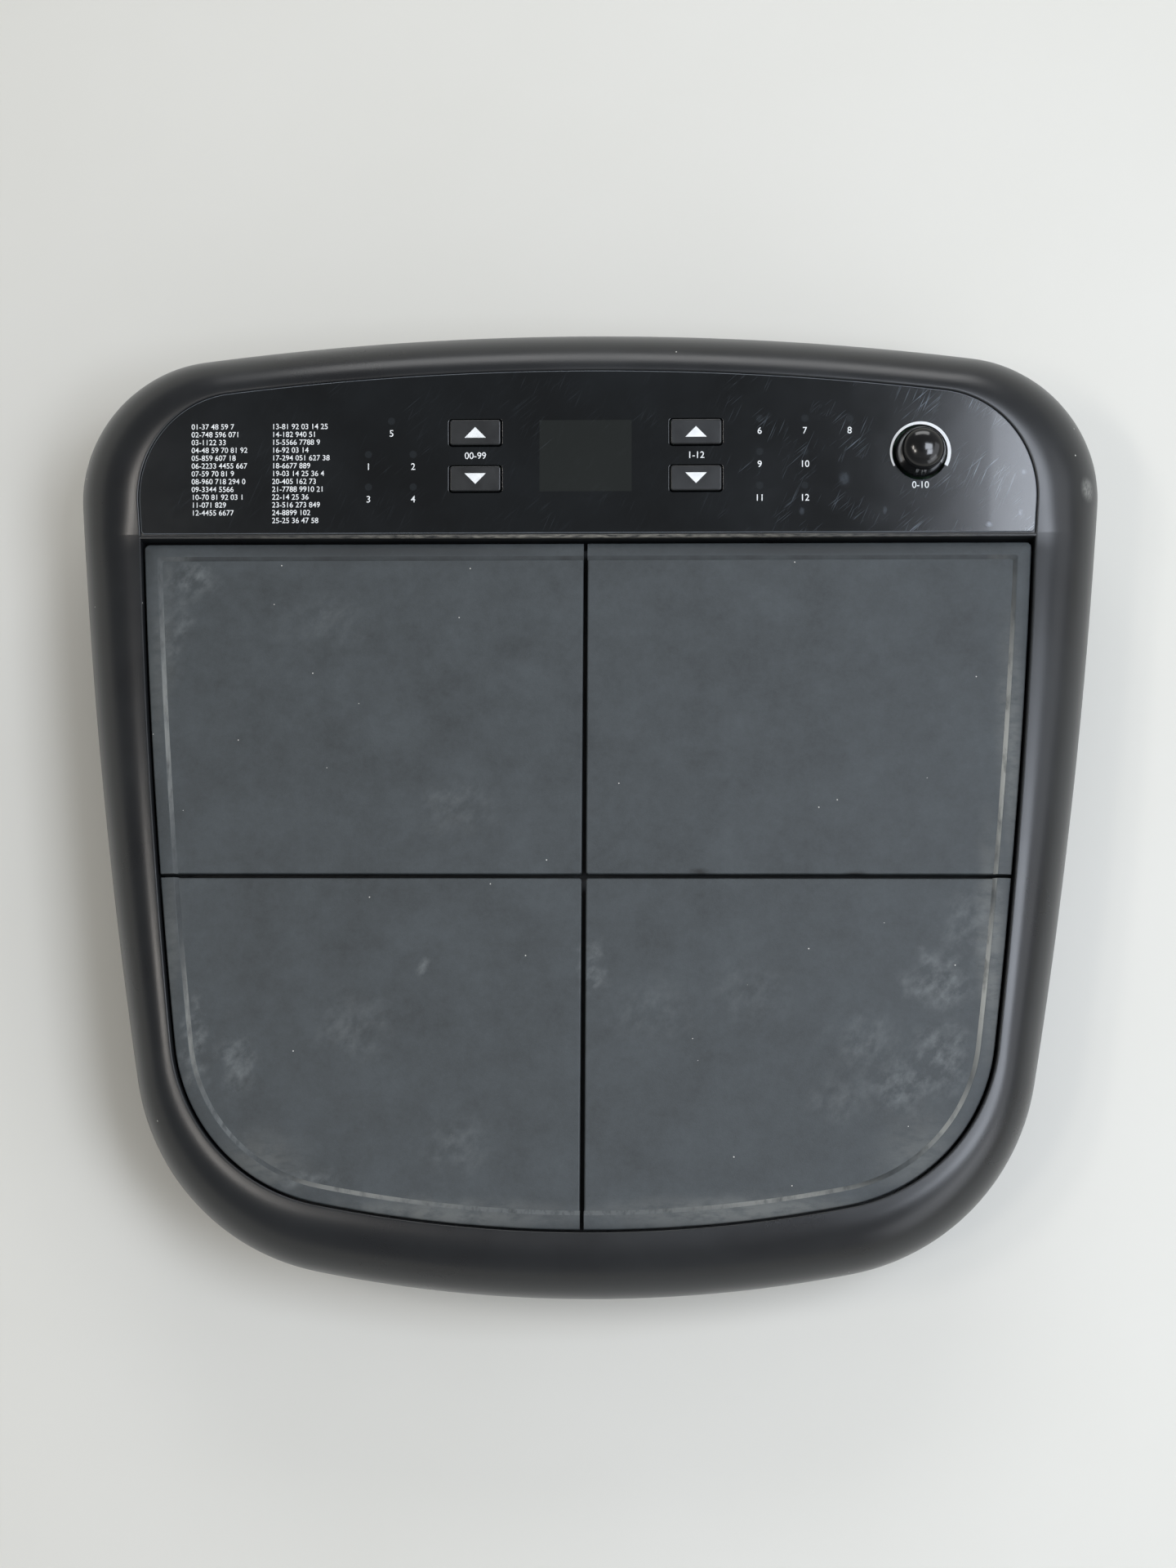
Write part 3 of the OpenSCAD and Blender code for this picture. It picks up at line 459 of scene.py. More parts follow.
@dataclass(frozen=True)
class ScratchedSheet(Finish):
    """A gloss sheet with a smoked window, dead-front lamp windows, wiping scratches and finger marks.

    The marks are placed in the sheet's own frame, where X runs across it and Y up it from its front edge.
    """

    sheet: Matrix = field(default_factory=Matrix)
    window: Patch = Patch((0, 0, 0), (1, 1, 1))
    window_colour: str = "#191c1b"
    window_edge: float = 0.01
    lamps: tuple[Patch, ...] = ()
    lamp_colour: str = "#1c2023"
    lamp_soft: float = 0.3
    marks: tuple[Patch, ...] = ()
    mark_mm: float = 1.0
    mark_detail: float = 4.0
    mark_soft: float = 0.9
    haze: str = "#7d8792"
    scratch_mm: float = 0.35
    scratch_long_mm: float = 14.0
    scratch_turns_deg: tuple[float, ...] = (-50, -24)
    scratch_range: tuple[float, float] = (0.64, 0.78)
    cluster_mm: float = 12.0
    cluster_detail: float = 3.0
    cluster_range: tuple[float, float] = (0.44, 0.66)
    worn_mm: tuple[float, float] = (30.0, 125.0)
    worn_share: tuple[float, float] = (0.08, 0.9)

    def on_sheet(self, tree: NodeTree, place: NodeSocket) -> NodeSocket:
        """Turns a position in the part to one on the sheet.

        Args:
            tree: The material's node tree.
            place: Position in metres.

        Returns:
            Socket with the position on the sheet.
        """
        back = self.sheet.inverted()
        return add_node(tree, "Mapping", inputs={
            "Vector": place, "Location": back.to_translation(), "Rotation": back.to_euler(),
        })

    def scratches(self, tree: NodeTree, flat: NodeSocket) -> NodeSocket:
        """Makes clusters of fine scratches that grow stronger to the right end.

        Args:
            tree: The material's node tree.
            flat: Position on the sheet.

        Returns:
            Socket with the mask.
        """
        lines = None
        for turn in self.scratch_turns_deg:
            # Real scratches are finer than a pixel, so they are drawn some four times as wide and fainter
            drawn = add_node(tree, "Mapping", {"vector_type": "TEXTURE"}, {
                "Vector": flat, "Rotation": (0, 0, math.radians(turn)), "Location": (turn * MM, 0, 0),
                "Scale": (self.scratch_mm * MM, self.scratch_long_mm * MM, 1.0),
            })
            noise = add_node(tree, "TexNoise", inputs={"Vector": drawn, "Scale": 1.0, "Detail": 1.0})
            least, most = self.scratch_range
            line = add_node(tree, "MapRange", inputs={"Value": noise, "From Min": least, "From Max": most})
            lines = line if lines is None else add_node(tree, "Math", {"operation": "MAXIMUM"}, {
                0: lines, 1: line,
            })
        cluster = add_node(tree, "TexNoise", inputs={
            "Vector": flat, "Scale": per_metre(self.cluster_mm), "Detail": self.cluster_detail,
        })
        least, most = self.cluster_range
        gathered = add_node(tree, "MapRange", inputs={"Value": cluster, "From Min": least, "From Max": most})
        across = add_node(tree, "SeparateXYZ", inputs={"Vector": flat}, out="X")
        (first, last), (faint, strong) = self.worn_mm, self.worn_share
        worn = add_node(tree, "MapRange", inputs={
            "Value": across, "From Min": first * MM, "From Max": last * MM, "To Min": faint, "To Max": strong,
        })
        local = add_node(tree, "Math", {"operation": "MULTIPLY"}, {0: gathered, 1: worn})
        return add_node(tree, "Math", {"operation": "MULTIPLY"}, {0: lines, 1: local})

    def in_window(self, tree: NodeTree, flat: NodeSocket) -> NodeSocket:
        """Makes the mask of the display window.

        Args:
            tree: The material's node tree.
            flat: Position on the sheet.

        Returns:
            Socket with the mask.
        """
        near = add_node(tree, "VectorMath", {"operation": "ABSOLUTE"}, {0: self.window.around(tree, flat)})
        x = add_node(tree, "SeparateXYZ", inputs={"Vector": near}, out="X")
        side = add_node(tree, "Math", {"operation": "MAXIMUM"}, {0: x, 1: x.node.outputs["Y"]})
        return add_node(tree, "MapRange", inputs={
            "Value": side, "From Min": 1 - self.window_edge, "From Max": 1 + self.window_edge,
            "To Min": 1.0, "To Max": 0.0,
        })

    def colours(self, tree: NodeTree, place: NodeSocket, tone: NodeSocket) -> NodeSocket:
        """Adds the windows, the scratches and the finger marks to the plain colour.

        Args:
            tree: The material's node tree.
            place: Position in metres.
            tone: Slow noise, from 0 to 1.

        Returns:
            Socket with the colour.
        """
        flat = self.on_sheet(tree, place)
        smear = add_node(tree, "TexNoise", inputs={
            "Vector": flat, "Scale": per_metre(self.mark_mm), "Detail": self.mark_detail,
        })
        touched = add_node(tree, "Math", {"operation": "MULTIPLY"}, {
            0: patch_mask(tree, flat, self.marks, self.mark_soft), 1: smear,
        })
        marked = add_node(tree, "Math", {"operation": "MAXIMUM"}, {
            0: self.scratches(tree, flat), 1: touched,
        })
        colour = super().colours(tree, place, tone)
        for share, shade in (
            (self.in_window(tree, flat), self.window_colour),
            (patch_mask(tree, flat, self.lamps, self.lamp_soft), self.lamp_colour),
            (marked, self.haze),
        ):
            colour = add_node(tree, "Mix", {"data_type": "RGBA"}, {0: share, 6: colour, 7: linear(shade)}, 2)
        return colour


@dataclass(frozen=True)
class Outline:
    """Closed plan of tangent arcs: front bow, front corners, sides, rear corners and rear bow."""

    half_rear: float
    half_front: float
    rear_y: float
    front_y: float
    rear_corner_r: float
    front_corner_r: float
    rear_bow_r: float
    front_bow_r: float
    side_bow_r: float
    split_y: float
    steps: int = 28

    def arcs(self) -> list[tuple[np.ndarray, float, float, float]]:
        """Works out the right half's arcs from front to rear.

        Returns:
            Middle, radius, first and last angle of each arc.
        """

        def drop(bow_r: float, corner_r: float, inwards: float) -> float:
            """Gives how far a corner's middle lies behind the crest of its bow."""
            return bow_r - math.sqrt((bow_r - corner_r) ** 2 - inwards ** 2)

        def heading(start: np.ndarray, end: np.ndarray) -> float:
            """Gives the angle of the line from start to end."""
            return math.atan2(end[1] - start[1], end[0] - start[0])

        rear_in = self.half_rear - self.rear_corner_r
        front_in = self.half_front - self.front_corner_r
        rear = np.array([rear_in, self.rear_y - drop(self.rear_bow_r, self.rear_corner_r, rear_in)])
        front = np.array([front_in, self.front_y + drop(self.front_bow_r, self.front_corner_r, front_in)])
        reach_rear = self.side_bow_r - self.rear_corner_r
        reach_front = self.side_bow_r - self.front_corner_r
        apart = np.linalg.norm(front - rear)
        way = (front - rear) / apart
        along = (reach_rear ** 2 - reach_front ** 2 + apart ** 2) / (2 * apart)
        across = math.sqrt(reach_rear ** 2 - along ** 2)
        side = rear + along * way + across * np.array([way[1], -way[0]])
        front_bow = np.array([0, self.front_y + self.front_bow_r])
        rear_bow = np.array([0, self.rear_y - self.rear_bow_r])
        split = math.asin((self.split_y - side[1]) / self.side_bow_r)
        return [
            (front_bow, self.front_bow_r, -math.pi / 2, heading(front_bow, front)),
            (front, self.front_corner_r, heading(front_bow, front), heading(side, front)),
            (side, self.side_bow_r, heading(side, front), split),
            (side, self.side_bow_r, split, heading(side, rear)),
            (rear, self.rear_corner_r, heading(side, rear), heading(rear_bow, rear)),
            (rear_bow, self.rear_bow_r, heading(rear_bow, rear), math.pi / 2),
        ]

    def half(self, inset: float) -> np.ndarray:
        """Gives the right half's points from the front middle to the rear middle.

        Args:
            inset: How far the outline moves inwards.

        Returns:
            Points in X and Y.
        """
        points = []
        for middle, radius, first, last in self.arcs():
            for step in range(self.steps):
                angle = first + (last - first) * step / self.steps
                points.append(middle + (radius - inset) * np.array([math.cos(angle), math.sin(angle)]))
        points.append(np.array([0, self.rear_y - inset]))
        return np.array(points)

    def ring(self, inset: float) -> np.ndarray:
        """Gives the whole closed outline, moved inwards by inset."""
        half = self.half(inset)
        return np.vstack([half, half[-2:0:-1] * [-1, 1]])

    def half_width(self, y: float, inset: float) -> float:
        """Works out half the width at a depth.

        Args:
            y: The depth.
            inset: How far the outline moves inwards.

        Returns:
            Half the width.
        """
        half = self.half(inset)
        side = half[self.steps // 2:-self.steps // 2]
        return float(np.interp(y, side[:, 1], side[:, 0]))


@dataclass(frozen=True)
class Levels:
    """Heights and depths of the housing that several pieces share."""

    parting_z: float = 30.0
    widest_z: float = 32.0
    rim_z: float = 52.0
    tray_z: float = 38.0
    panel_y: float = 81.0
    sill_w: float = 1.2
    slope: float = math.radians(12)
    body_half: float = 161.5
    body_rear_y: float = 150.5
    taper: float = 25.0
    rim_rear: float = 19.8
    rim_front: float = 19.1
    rim_side_rear: float = 22.3
    rim_side_front: float = 13.7

    def top_z(self, y: np.ndarray, blend: float = 0.0) -> np.ndarray:
        """Gives the height of the rim and the panel.

        Args:
            y: Depths.
            blend: Length over which the crease at the panel's front edge is rounded.

        Returns:
            Heights.
        """
        past = y - self.panel_y
        if blend:
            eased = (past + blend) ** 2 / (4 * blend)
            past = np.where(past < -blend, 0, np.where(past > blend, past, eased))
        return self.rim_z + np.maximum(0, past) * math.tan(self.slope)

    def panel_matrix(self) -> Matrix:
        """Gives the panel's frame in metres: Y up the slope from its front edge, Z along its normal."""
        corner = Matrix.Translation((0, self.panel_y * MM, self.rim_z * MM))
        return corner @ Matrix.Rotation(self.slope, 4, "X")

    def body(self) -> Outline:
        """Gives the plan of the whole housing.

        Returns:
            Its outline at the widest line.
        """
        return Outline(
            half_rear=self.body_half, half_front=self.body_half - self.taper,
            rear_y=self.body_rear_y, front_y=-self.body_rear_y, rear_corner_r=44, front_corner_r=70,
            rear_bow_r=940, front_bow_r=420, side_bow_r=1950, split_y=self.panel_y,
        )

    def deck(self) -> Outline:
        """Gives the plan of the opening that holds the pads and the panel.

        Returns:
            Its outline at the top.
        """
        return Outline(
            half_rear=self.body_half - self.rim_side_rear,
            half_front=self.body_half - self.taper - self.rim_side_front,
            rear_y=self.body_rear_y - self.rim_rear, front_y=-self.body_rear_y + self.rim_front,
            rear_corner_r=32, front_corner_r=55, rear_bow_r=950, front_bow_r=410, side_bow_r=2200,
            split_y=self.panel_y,
        )


LEVELS = Levels()


def placed(name: str, data: bpy.types.ID) -> Object:
    """Makes an object and puts it in the scene.

    Args:
        name: Object name.
        data: Its mesh, curve, lamp or camera.

    Returns:
        The new object.
    """
    made = bpy.data.objects.new(name, data)
    bpy.context.scene.collection.objects.link(made)
    return made


def new_piece(name: str, mesh: Mesh, body: str | None, finish: Material | None) -> Object:
    """Makes an object of a mesh that rides on a CAD body.

    Args:
        name: Piece name.
        mesh: Its mesh, in metres.
        body: CAD body that carries it, or none for a piece that runs between two, which is then left
            unattached.
        finish: Its material, or none where the mesh has its own.

    Returns:
        The new object.
    """
    piece = placed(name, mesh)
    if finish:
        mesh.materials.append(finish)
    if body:
        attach(piece, body)
    LOG.info("%s: %d faces on %s", name, len(mesh.polygons), body or "two bodies")
    return piece


def loft_mesh(name: str, rings: Sequence[np.ndarray], closed: bool, sharp_deg: float) -> Mesh:
    """Makes a mesh through rings of equal length.

    Args:
        name: Mesh name.
        rings: Closed rings of points in millimetres.
        closed: Whether the last ring joins the first, else both ends are capped.
        sharp_deg: Angle above which an edge stays sharp.

    Returns:
        The smooth-shaded mesh in metres.
    """
    count = len(rings[0])
    last = len(rings) if closed else len(rings) - 1
    faces = []
    for j in range(last):
        low, high = j * count, (j + 1) % len(rings) * count
        for i in range(count):
            k = (i + 1) % count
            faces.append((low + i, low + k, high + k, high + i))
    if not closed:
        faces.append(tuple(range(count - 1, -1, -1)))
        faces.append(tuple((len(rings) - 1) * count + i for i in range(count)))
    mesh = bpy.data.meshes.new(name)
    mesh.from_pydata((np.vstack(rings) * MM).tolist(), [], faces)
    work = bmesh.new()
    work.from_mesh(mesh)
    bmesh.ops.recalc_face_normals(work, faces=work.faces)
    work.to_mesh(mesh)
    work.free()
    mesh.shade_smooth()
    mesh.set_sharp_from_angle(angle=math.radians(sharp_deg))
    return mesh


def curve_mesh(curve: bpy.types.Curve) -> Mesh:
    """Turns a curve or a text to a mesh without materials.

    Args:
        curve: The curve.

    Returns:
        The mesh in metres.
    """
    carrier = placed(curve.name, curve)
    bpy.context.view_layer.update()
    mesh = bpy.data.meshes.new_from_object(carrier.evaluated_get(bpy.context.evaluated_depsgraph_get()))
    bpy.data.objects.remove(carrier)
    mesh.materials.clear()
    return mesh


def sheet_mesh(
    name: str, outlines: Sequence[np.ndarray], low: float, high: float, edge: float, place: Matrix,
    edge_steps: int = 3, level: float = 0.999,
) -> Mesh:
    """Makes a flat sheet with holes and rounded edges.

    Args:
        name: Mesh name.
        outlines: Closed outlines in millimetres, where one inside another is a hole.
        low: Height of its lower face.
        high: Height of its upper face.
        edge: Radius of its edges.
        place: Frame that the sheet lies in, in metres.
        edge_steps: Parts of the edge's round.
        level: Faces whose normal rises more than this are the sheet's flat faces.

    Returns:
        The mesh in metres, with flat faces and smooth edges.
    """
    curve = bpy.data.curves.new(name, "CURVE")
    curve.dimensions = "2D"
    curve.fill_mode = "BOTH"
    curve.extrude = ((high - low) / 2 - edge) * MM
    curve.bevel_depth = edge * MM
    curve.bevel_resolution = edge_steps
    curve.offset = -edge * MM
    for outline in outlines:
        spline = curve.splines.new("POLY")
        spline.points.add(len(outline) - 1)
        spline.use_cyclic_u = True
        for point, (x, y) in zip(spline.points, outline):
            point.co = (x * MM, y * MM, 0, 1)
    mesh = curve_mesh(curve)
    mesh.name = name
    mesh.shade_smooth()
    for face in mesh.polygons:
        face.use_smooth = abs(face.normal.z) < level
    mesh.transform(place @ Matrix.Translation((0, 0, (low + high) / 2 * MM)))
    return mesh


def quarter_round(radius: float) -> list[tuple[float, float]]:
    """Gives the run and the rise along a rounded edge, from its foot to its top."""
    angles = np.linspace(0, math.pi / 2, ROUND_STEPS)
    return [(radius - radius * math.cos(a), radius * math.sin(a)) for a in angles]


def corner_arc(
    before: np.ndarray, point: np.ndarray, after: np.ndarray, radius: float, steps: int
) -> list[np.ndarray]:
    """Rounds one corner that turns to the left.

    Args:
        before: Point before the corner.
        point: The corner.
        after: Point after the corner.
        radius: Corner radius.
        steps: Parts of the round.

    Returns:
        Points of the arc.
    """
    into = (before - point) / np.linalg.norm(before - point)
    out = (after - point) / np.linalg.norm(after - point)
    half = math.acos(np.clip(into @ out, -1, 1)) / 2
    middle = point + (into + out) / np.linalg.norm(into + out) * radius / math.sin(half)
    first = point + into * radius / math.tan(half) - middle
    arc = []
    for angle in np.linspace(0, math.pi - 2 * half, steps + 1):
        c, s = math.cos(angle), math.sin(angle)
        arc.append(middle + np.array([c * first[0] - s * first[1], s * first[0] + c * first[1]]))
    return arc


def rounded(
    points: np.ndarray, radius: float | Sequence[float], least_deg: float = 25.0, steps: int = 6
) -> np.ndarray:
    """Rounds the sharp corners of a closed outline.

    Args:
        points: Outline that turns to the left.
        radius: Corner radius, or one for each corner in turn.
        least_deg: Corners that turn less than this stay.
        steps: Parts of each round.

    Returns:
        The outline with arcs at its corners.
    """
    before = points - np.roll(points, 1, 0)
    after = np.roll(points, -1, 0) - points
    turn = np.degrees(np.arctan2(
        before[:, 0] * after[:, 1] - before[:, 1] * after[:, 0], (before * after).sum(1)
    ))
    corner = turn > least_deg
    sharp = points[corner]
    radii = np.broadcast_to(radius, len(sharp)).tolist()
    near = np.array([min(np.linalg.norm(sharp - p, axis=1) - 2 * np.array(radii)) < 0 for p in points])
    keep = corner | ~near
    points, corner = points[keep], corner[keep]
    result = []
    for i, point in enumerate(points):
        if not corner[i]:
            result.append(point)
            continue
        result += corner_arc(points[i - 1], point, points[(i + 1) % len(points)], radii.pop(0), steps)
    return np.array(result)


def box_outline(x: float, y: float, w: float, d: float, radius: float) -> np.ndarray:
    """Gives a rectangle around a middle point, with round corners."""
    corners = np.array([[-w, -d], [w, -d], [w, d], [-w, d]]) / 2 + [x, y]
    return rounded(corners, radius)


def circle_outline(x: float, y: float, radius: float, steps: int = 64) -> np.ndarray:
    """Gives a circle around a middle point."""
    angles = np.arange(steps) * 2 * math.pi / steps
    return np.column_stack([x + radius * np.cos(angles), y + radius * np.sin(angles)])


def joined(name: str, meshes: Sequence[Mesh]) -> Mesh:
    """Joins meshes into one and keeps how each face is shaded.

    Args:
        name: Name of the new mesh.
        meshes: Meshes to join, which are removed.

    Returns:
        The joined mesh.
    """
    parts = [placed(mesh.name, mesh) for mesh in meshes]
    with bpy.context.temp_override(
        active_object=parts[0], object=parts[0], selected_editable_objects=parts, selected_objects=parts
    ):
        bpy.ops.object.join()
    mesh = parts[0].data
    bpy.data.objects.remove(parts[0])
    mesh.name = name
    return mesh


@dataclass
class TopHousing:
    """Upper shell: rolled rim, land around the deck, pad well, sill and the panel's seat."""

    levels: Levels = LEVELS
    wall: float = 3.0
    well_wall: float = 2.2
    land_w: float = 0.8
    parting_step: float = 0.4
    edge_r: float = 0.4
    seat_drop: float = 0.9
    seat_edge_r: float = 0.05
    roll_steps: int = 18
    crease_blend: float = 14.0
    crease_deg: float = 40.0
    # Keeps two rings apart where the well has no wall
    sliver: float = 0.01

    def roll(self, outer: np.ndarray, land: np.ndarray, angle: float, sink: float) -> np.ndarray:
        """Gives one ring of the rolled rim.

        Args:
            outer: Outline at the widest line.
            land: Outline at the land.
            angle: Angle of roll, 0 at the land and a quarter turn at the widest line.
            sink: How far the skin lies under the outside.

        Returns:
            Points of the ring.
        """
        levels = self.levels
        share = math.sin(angle)
        plan = land + (outer - land) * share
        top = (1 - share) * levels.top_z(land[:, 1]) + share * levels.top_z(land[:, 1], self.crease_blend)
        return np.column_stack([plan, levels.widest_z + (top - sink - levels.widest_z) * math.cos(angle)])

    def shell(self) -> Mesh:
        """Makes the rim with its inside and the walls of the well.

        Returns:
            The mesh in metres.
        """
        levels = self.levels
        body, deck = levels.body(), levels.deck()
        land = deck.ring(-self.land_w)
        angles = np.linspace(math.pi / 2, 0, self.roll_steps)

        def flat(plan: np.ndarray, z: float | np.ndarray) -> np.ndarray:
            """Lifts a plan to a height."""
            return np.column_stack([plan, np.broadcast_to(z, len(plan))])

        rings = [
            flat(body.ring(self.wall + self.parting_step), levels.parting_z),
            flat(body.ring(self.parting_step), levels.parting_z),
        ]
        rings += [self.roll(body.ring(0), land, a, 0) for a in angles]
        for turn in np.linspace(0, math.pi / 2, ROUND_STEPS):
            plan = deck.ring(-self.edge_r * (1 - math.sin(turn)))
            rings.append(flat(plan, levels.top_z(plan[:, 1]) - self.edge_r * (1 - math.cos(turn))))
        edge = deck.ring(0)
        outside = deck.ring(-self.well_wall)
        deep = edge[:, 1] <= levels.panel_y + TINY
        under = levels.top_z(edge[:, 1]) - self.wall
        rings.append(flat(edge, np.where(deep, levels.tray_z, under)))
        rings.append(flat(outside, np.where(deep, levels.tray_z, under - self.sliver)))
        rings.append(flat(outside, under))
        rings += [self.roll(body.ring(self.wall), land, a, self.wall) for a in angles[::-1]]
        return loft_mesh("top_shell", rings, True, self.crease_deg)

    def sill(self) -> Mesh:
        """Makes the bar between the well and the panel.

        Returns:
            The mesh in metres.
        """
        levels = self.levels
        front, rear = levels.panel_y - levels.sill_w, levels.panel_y
        foot = levels.rim_z - self.edge_r
        edge = quarter_round(self.edge_r)
        profile = [(front, levels.tray_z)]
        profile += [(front + run, foot + rise) for run, rise in edge]
        profile += [(rear - run, foot + rise) for run, rise in reversed(edge)]
        profile.append((rear, levels.tray_z))
        half = levels.deck().half_width(levels.panel_y, 0) + self.edge_r
        rings = [np.array([[x, y, z] for y, z in profile]) for x in (half, -half)]
        return loft_mesh("sill_bar", rings, False, self.crease_deg)

    def seat(self, panel: "ControlPanel") -> Mesh:
        """Makes the sloped deck under the overlay.

        Args:
            panel: Panel whose holes go through it.

        Returns:
            The mesh in metres.
        """
        outlines = [panel.outline(-self.edge_r), *panel.holes()]
        place = self.levels.panel_matrix()
        return sheet_mesh("panel_seat", outlines, -self.wall, -self.seat_drop, self.seat_edge_r, place)

    def build(self, panel: "ControlPanel", finish: Material) -> None:
        """Builds the housing in place of its CAD node.

        Args:
            panel: Panel whose holes go through the seat.
            finish: Housing material.
        """
        mesh = joined("top_housing_looks", [self.shell(), self.sill(), self.seat(panel)])
        piece = new_piece("top_housing_looks", mesh, CHASSIS, finish)
        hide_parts("top_housing")


@dataclass
class PadSet:
    """Four rubber strike pads, each with a raised border along its outer edges.

    The border falls towards its outer edge. Inside, it has a lip, a sloped step and a foot on the field.
    """

    levels: Levels = LEVELS
    gap: float = 0.7
    cross_gap: float = 1.2
    rear_depth: float = 104.0
    thickness: float = 4.1
    corner_r: float = 0.8
    outer_corner_r: float = 1.6
    edge_r: float = 0.5
    field_trim: float = 0.05
    border_w: float = 5.5
    border_h: float = 0.6
    border_fall: float = 0.6
    step_w: float = 1.3
    lip: tuple[float, float] = (0.3, 0.03)
    foot: tuple[float, float] = (0.1, 0.06)
    crease_deg: float = 35.0
    front_steps: int = 30
    side_steps: int = 40
    rear_steps: int = 20
    corner_steps: int = 6
    foam_inset: float = 3.0
    foam_bulge: float = 2.4
    foam_hole_r: float = 22.0
    press: float = 1.0

    @property
    def rear_y(self) -> float:
        """Depth of the rear pads' rear edge."""
        return self.levels.panel_y - self.levels.sill_w - self.cross_gap

    @property
    def split_y(self) -> float:
        """Depth of the gap between the rear and front pads."""
        return self.rear_y - self.rear_depth - self.cross_gap / 2

    def outline(self, row: Row, side: Side, trim: float) -> np.ndarray:
        """Gives the plan of one pad.

        Args:
            row: Rear or front row.
            side: Left or right pad.
            trim: How far the plan is moved inwards.

        Returns:
            Outline with round corners, turning to the left.
        """
        deck, reach, inner = self.levels.deck(), self.gap + trim, self.cross_gap / 2 + trim
        half = deck.half(reach)
        low, high = self.split_y + inner, self.rear_y - trim
        if row is Row.FRONT:
            low, high = -math.inf, self.split_y - inner
        lane = half[(half[:, 0] > inner) & (half[:, 1] > low) & (half[:, 1] < high)]
        points = [[inner, high]]
        radii = [self.corner_r] * 3
        if row is Row.REAR:
            points += [[inner, low], [deck.half_width(low, reach), low]]
            radii.append(self.outer_corner_r)
        else:
            bow = half[(half[:, 0] <= inner) & (half[:, 1] < 0)]
            points.append([inner, bow[-1, 1]])
        points += lane.tolist()
        points.append([deck.half_width(high, reach), high])
        outline = rounded(np.array(points), radii)
        return outline if side is Side.RIGHT else (outline * [-1, 1])[::-1]

    def border_line(self, row: Row, inset: float) -> np.ndarray:
        """Gives a line along the outer edges of a right-hand pad.

        Args:
            row: Rear or front row.
            inset: Distance of the line from the pad's edge.

        Returns:
            As many points for every inset.
        """
        deck, edge, reach = self.levels.deck(), self.cross_gap / 2, self.gap + inset
        if row is Row.FRONT:
            bow = deck.half(reach)[:2 * deck.steps + 1]
            bow = bow[np.searchsorted(deck.half(self.gap)[:deck.steps, 0], edge):]
            bow[0, 0] = edge
            depths = np.linspace(bow[-1, 1], self.split_y - edge, self.front_steps)[1:]
            return np.vstack([bow, [[deck.half_width(y, reach), y] for y in depths]])
        rear, radius = self.rear_y - inset, max(self.outer_corner_r - inset, self.corner_r)
        run = 3 * self.outer_corner_r
        depths = np.linspace(self.split_y + edge, rear - run, self.side_steps)
        side = np.array([[deck.half_width(y, reach), y] for y in depths])
        corner = np.array([deck.half_width(rear, reach), rear])
        top = np.array([[x, rear] for x in np.linspace(corner[0] - run, edge, self.rear_steps)])
        return np.vstack([side, corner_arc(side[-1], corner, top[0], radius, self.corner_steps), top])

    def border_mesh(self, row: Row, side: Side, low: float, high: float) -> Mesh:
        """Makes a pad's raised border.

        Args:
            row: Rear or front row.
            side: Left or right pad.
            low: Height of the pad's underside.
            high: Height of its field.

        Returns:
            The mesh in metres, with the step's faces in a second material slot.
        """
        crest = high + self.border_h
        shoulder = crest - self.border_fall - self.edge_r
        step_top = self.border_w - self.step_w
        (lip_w, lip_h), (foot_w, foot_h) = self.lip, self.foot
        profile = [(0.0, low)]
        profile += [(run, shoulder + rise) for run, rise in quarter_round(self.edge_r)]
        profile.append((step_top - lip_w, crest))
        step_face = len(profile)
        profile += [
            (step_top, crest - lip_h), (self.border_w - foot_w, high + foot_h),
            (self.border_w, high), (self.border_w, low),
        ]
        lines = [self.border_line(row, d) * [side.value, 1] for d, _ in profile]
        rings = [
            np.array([[*line[j], z] for line, (_, z) in zip(lines, profile)]) for j in range(len(lines[0]))
        ]
        mesh = loft_mesh("border", rings, False, self.crease_deg)
        for face in mesh.polygons[:(len(rings) - 1) * len(profile)]:
            face.material_index = int(face.index % len(profile) in (step_face, step_face + 1))
        return mesh

    def foam(self, row: Row, side: Side, number: int, finish: Material) -> None:
        """Builds the foam bed under one pad, a slab that bulges at its free edges.

        Args:
            row: Rear or front row.
            side: Left or right pad.
            number: Pad number.
            finish: Foam material.
        """
        node = f"pad_foam_{number}"
        low, high = (corner.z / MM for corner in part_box(node))
        first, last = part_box(f"pad_piezo_{number}")
        middle = (first + last) / (2 * MM)
        hole = circle_outline(middle.x, middle.y, self.foam_hole_r)
        outline = self.outline(row, side, self.foam_inset)
        mesh = sheet_mesh(f"{node}_looks", [outline, hole], low, high, self.foam_bulge, Matrix.Identity(4))
        piece = new_piece(f"{node}_looks", mesh, CHASSIS, finish)
        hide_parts(node)
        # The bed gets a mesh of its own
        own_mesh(piece)

    def build(self, finish: Material, step_finish: Material, foam_finish: Material) -> None:
        """Builds the pads and their foam beds in place of their CAD nodes.

        Args:
            finish: Rubber material.
            step_finish: Rubber material of the step inside the border: painted shade, with rubs, dust and a
                painted highlight.
            foam_finish: Foam material.
        """
        for row in Row:
            for side in Side:
                number = row.value + (side is Side.RIGHT)
                node = f"pad_skin_{number}"
                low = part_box(node)[0].z / MM
                high = low + self.thickness
                outline = self.outline(row, side, self.field_trim)
                sheet = sheet_mesh("field", [outline], low, high, self.edge_r, Matrix.Identity(4))
                parts = [sheet, self.border_mesh(row, side, low, high)]
                # The step's slot paints shade and a highlight on the step, as well as its rubs and dust
                for part in parts:
                    part.materials.append(finish)
                    part.materials.append(step_finish)
                mesh = joined(f"{node}_looks", parts)
                piece = new_piece(f"{node}_looks", mesh, f"pad_{number}", None)
                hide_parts(node)
                self.foam(row, side, number, foam_finish)


